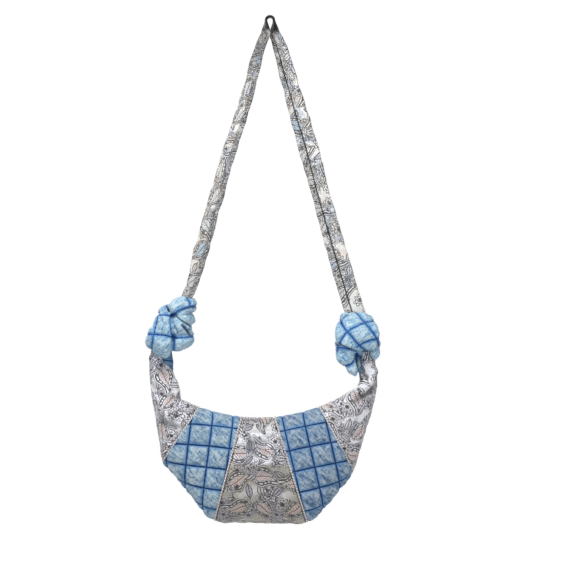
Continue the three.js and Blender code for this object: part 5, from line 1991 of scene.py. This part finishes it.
def woven_finish(name, colour, roughness, thread):
    """Plain weave: threads over and under each other."""
    finish = Finish(name)
    place = finish.cloth_place()
    u, v = finish.parts(place)
    warp, weft = (u * (math.pi / thread)).sin(), (v * (math.pi / thread)).sin()
    weave = warp * weft * 0.5 + 0.5
    uneven = finish.noise(place, 7, 3, 0.6)
    dark = tuple(0.55 * c for c in colour)
    shade = finish.mix(0.5 * (1.0 - weave) + 0.5 * (uneven - 0.4), colour, dark)
    finish.set(Base_Color=shade, Roughness=roughness, Normal=finish.bump(weave, 0.2, 0.6))
    return finish.material


def metal_finish():
    """Nickel plate with dull places and fine scratches."""
    finish = Finish("nickel_plate")
    place = finish.object_place()
    wear = finish.noise(place, 0.002, 4, 0.6)
    scratches = finish.noise(place, 0.0006, 2, 0.5, (0.4, 0.08))
    colour = finish.mix(wear.step(0.52, 0.72), linear(196, 194, 190), linear(150, 146, 140))
    finish.set(Base_Color=colour, Metallic=1.0, Roughness=0.24 + 0.22 * wear + 0.08 * scratches)
    finish.set(Normal=finish.bump(scratches, 0.03, 0.3))
    return finish.material


# %% [markdown]
# Every piece gets its finish. The two quilted panels differ a little, because they were cut
# from cloth with another wash, and the knots are paler than both.

# %% Give the finishes
WASHED_BLUE = shades((200, 218, 228), (166, 192, 210), (130, 162, 190), (84, 122, 164), (14, 50, 108))
GREYER_BLUE = shades((190, 204, 218), (152, 176, 198), (118, 146, 176), (76, 106, 148), (12, 44, 98))
KNOT_BLUE = shades((222, 244, 252), (188, 222, 242), (154, 198, 230), (102, 154, 206), (32, 94, 172))
SHADED_BLUE = shades((158, 184, 204), (122, 156, 186), (86, 126, 166), (46, 84, 130), (20, 56, 108))
TAUPE = shades((144, 140, 128), (20, 14, 18), (208, 202, 194), (214, 184, 176), (160, 158, 182))
STRAP_GREY = shades((228, 227, 224), (10, 8, 14), (246, 245, 246), (140, 190, 222), (222, 178, 132))
# Heights where the panels' satin gets its painted highlight, rising and then falling.
PANEL_HIGHLIGHT_HEIGHTS = (-740, -640, 0, 10)
CENTRE_HIGHLIGHT_HEIGHTS = (-684, -664, -636, -618)
FINISHES = {  # the first word that is in a piece's name gives its finish
    "_cloth_stitching": thread_finish("plum_thread", linear(40, 32, 40)),
    "_thread": thread_finish("knot_thread", linear(44, 104, 184)),
    "_stitching": thread_finish("quilting_thread", linear(22, 62, 124)),
    "knot": denim_finish("washed_denim_knot", None, KNOT_BLUE),
    "neck": denim_finish("washed_denim_neck", QUILTS["left"], SHADED_BLUE),
    "left_quilting": denim_finish("washed_denim_left", QUILTS["left"], WASHED_BLUE),
    "right_quilting": denim_finish("washed_denim_right", QUILTS["right"], GREYER_BLUE),
    "piping": piping_finish(),
    "tape": woven_finish("zip_tape", linear(92, 98, 112), 0.9, 0.5),
    "metal": metal_finish(),
    "lining": woven_finish("lining_cotton", linear(196, 186, 168), 0.8, 0.35),
    "strap": jacquard_finish("strap_jacquard", STRAP_GREY, (311, 47), 1.05, None),
    "centre": jacquard_finish("taupe_jacquard_centre", TAUPE, (13, 5), 1.1, CENTRE_HIGHLIGHT_HEIGHTS),
    "": jacquard_finish("taupe_jacquard", TAUPE, (0, 0), 1.05, PANEL_HIGHLIGHT_HEIGHTS),
}
for name, piece in pieces.items():
    finish = next(finish for word, finish in FINISHES.items() if word in name)
    piece.data.materials.clear()
    piece.data.materials.append(finish)
for finish in FINISHES.values():
    print(finish.name, "-", finish.users, "pieces,", len(finish.node_tree.nodes), "nodes")


# %% [markdown]
# The light is large and soft, from above and in front, as in a small product studio. The
# backdrop's white comes from its own surface where the camera sees it, so it adds no light.

# %% Floor, backdrop and light
FLOOR_Z = -0.90
BACKDROP_GLOW = 0.7
AMBIENT = 0.3
BAG_MIDDLE = (0.0, 0.0, -0.55)
LIGHTS = {  # place, size and power
    "key_light": ((-0.5, -1.1, 1.0), (1.0, 0.8), 37),
    "fill_light": ((1.5, -1.6, -0.1), (1.2, 1.4), 8),
    "back_light": ((0.2, 1.8, 0.5), (1.6, 1.0), 10),
}


def seen_rays(nodes):
    """1 for the rays that show a surface to the camera, straight, mirrored or through glass."""
    rays = nodes.node("ShaderNodeLightPath")
    camera, mirrored = nodes.value(rays, "Is Camera Ray"), nodes.value(rays, "Is Glossy Ray")
    return camera.max(mirrored).max(nodes.value(rays, "Is Transmission Ray"))


def backdrop_finish():
    """Matt white that glows only where it is seen."""
    finish = Finish("white_backdrop")
    finish.set(Base_Color=(0.80, 0.80, 0.80, 1), Roughness=0.9)
    finish.set(Emission_Color=(1, 1, 1, 1), Emission_Strength=seen_rays(finish) * BACKDROP_GLOW)
    return finish.material


def area_light(name, place, size, power):
    """A rectangular lamp that points at the bag's middle."""
    bpy.ops.object.light_add(type="AREA", location=place)
    lamp = bpy.context.object
    lamp.name = name
    lamp.data.shape = "RECTANGLE"
    lamp.data.size, lamp.data.size_y = size
    lamp.data.energy = power
    lamp.rotation_euler = (Vector(BAG_MIDDLE) - Vector(place)).to_track_quat("-Z", "Y").to_euler()


bpy.ops.mesh.primitive_plane_add(size=14, location=(0, 0, FLOOR_Z))
floor = bpy.context.object
floor.name = "studio_floor"
floor.data.materials.append(backdrop_finish())
for name, (place, size, power) in LIGHTS.items():
    area_light(name, place, size, power)
    print(name, power, "W over", size, "m")

world = bpy.data.worlds.new("studio")
bpy.context.scene.world = world
sky = Nodes(world, "Background")
strength = sky.node("ShaderNodeMapRange", None, seen_rays(sky), 0.0, 1.0, AMBIENT, 1.0)
sky.set(Color=(1, 1, 1, 1), Strength=strength.outputs[0])
bpy.context.scene.view_settings.view_transform = "Standard"

# %% [markdown]
# Each piece is told which solid body it moves with and which plain solid it stands for, but
# the cloth of the necks hangs from the knots and carries the bag, so it is only baked in
# place and rides on neither body.

# %% Ride and replace
METAL_BODIES = {"zip_slider": "slider", "zip_pull": "pull"}


def stands_for(name, node, body="bag"):
    """A piece that rides on a body in the place of a plain solid."""
    piece = pieces[name]
    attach(piece, body)
    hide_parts(node)
    return piece


def bends_for(name, node):
    """A piece of a neck, whose cloth hangs between the knots' body and the bag's: baked in place, it rides
    on neither.
    """
    piece = pieces[name]
    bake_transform(piece)
    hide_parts(node)


for view in SIDES:
    for hand in ("left", "right"):
        name = f"{view}_{hand}_quilting"
        panel = stands_for(name, f"{view}_{hand}_quilted_panel")
        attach(pieces[name + "_stitching"], "bag")
        bends_for(f"{view}_{hand}_wing_cloth", f"{view}_{hand}_wing")
    stands_for(f"{view}_centre_panel_cloth", f"{view}_centre_panel")
    for part in TOPSTITCHED:
        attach(pieces[f"{view}_{part}_cloth_stitching"], "bag")
    for seam in SEAM_STATIONS:
        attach(pieces[f"{view}_{seam}_piping"], "bag")
    stands_for(f"{view}_lining_cloth", f"{view}_lining")
    stands_for(f"{view}_tape", f"zip_tape_{view}")
for hand in ("left", "right"):
    knot = stands_for(f"{hand}_knot_cloth", f"{hand}_knot", "strap")
    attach(pieces[f"{hand}_knot_cloth_thread"], "strap")
for hand in ("left", "right"):
    bends_for(f"{hand}_neck_denim", f"{hand}_neck_facing")
    padding = stands_for(f"{hand}_neck_padding", f"{hand}_neck_roll")
    stands_for(f"{hand}_zip_tab", f"zip_{hand}_tab")
stands_for("strap_cloth", "strap", "strap")
for node in METAL_NODES:
    stands_for(node + "_metal", node, METAL_BODIES.get(node, "bag"))
print(len(pieces), "pieces")
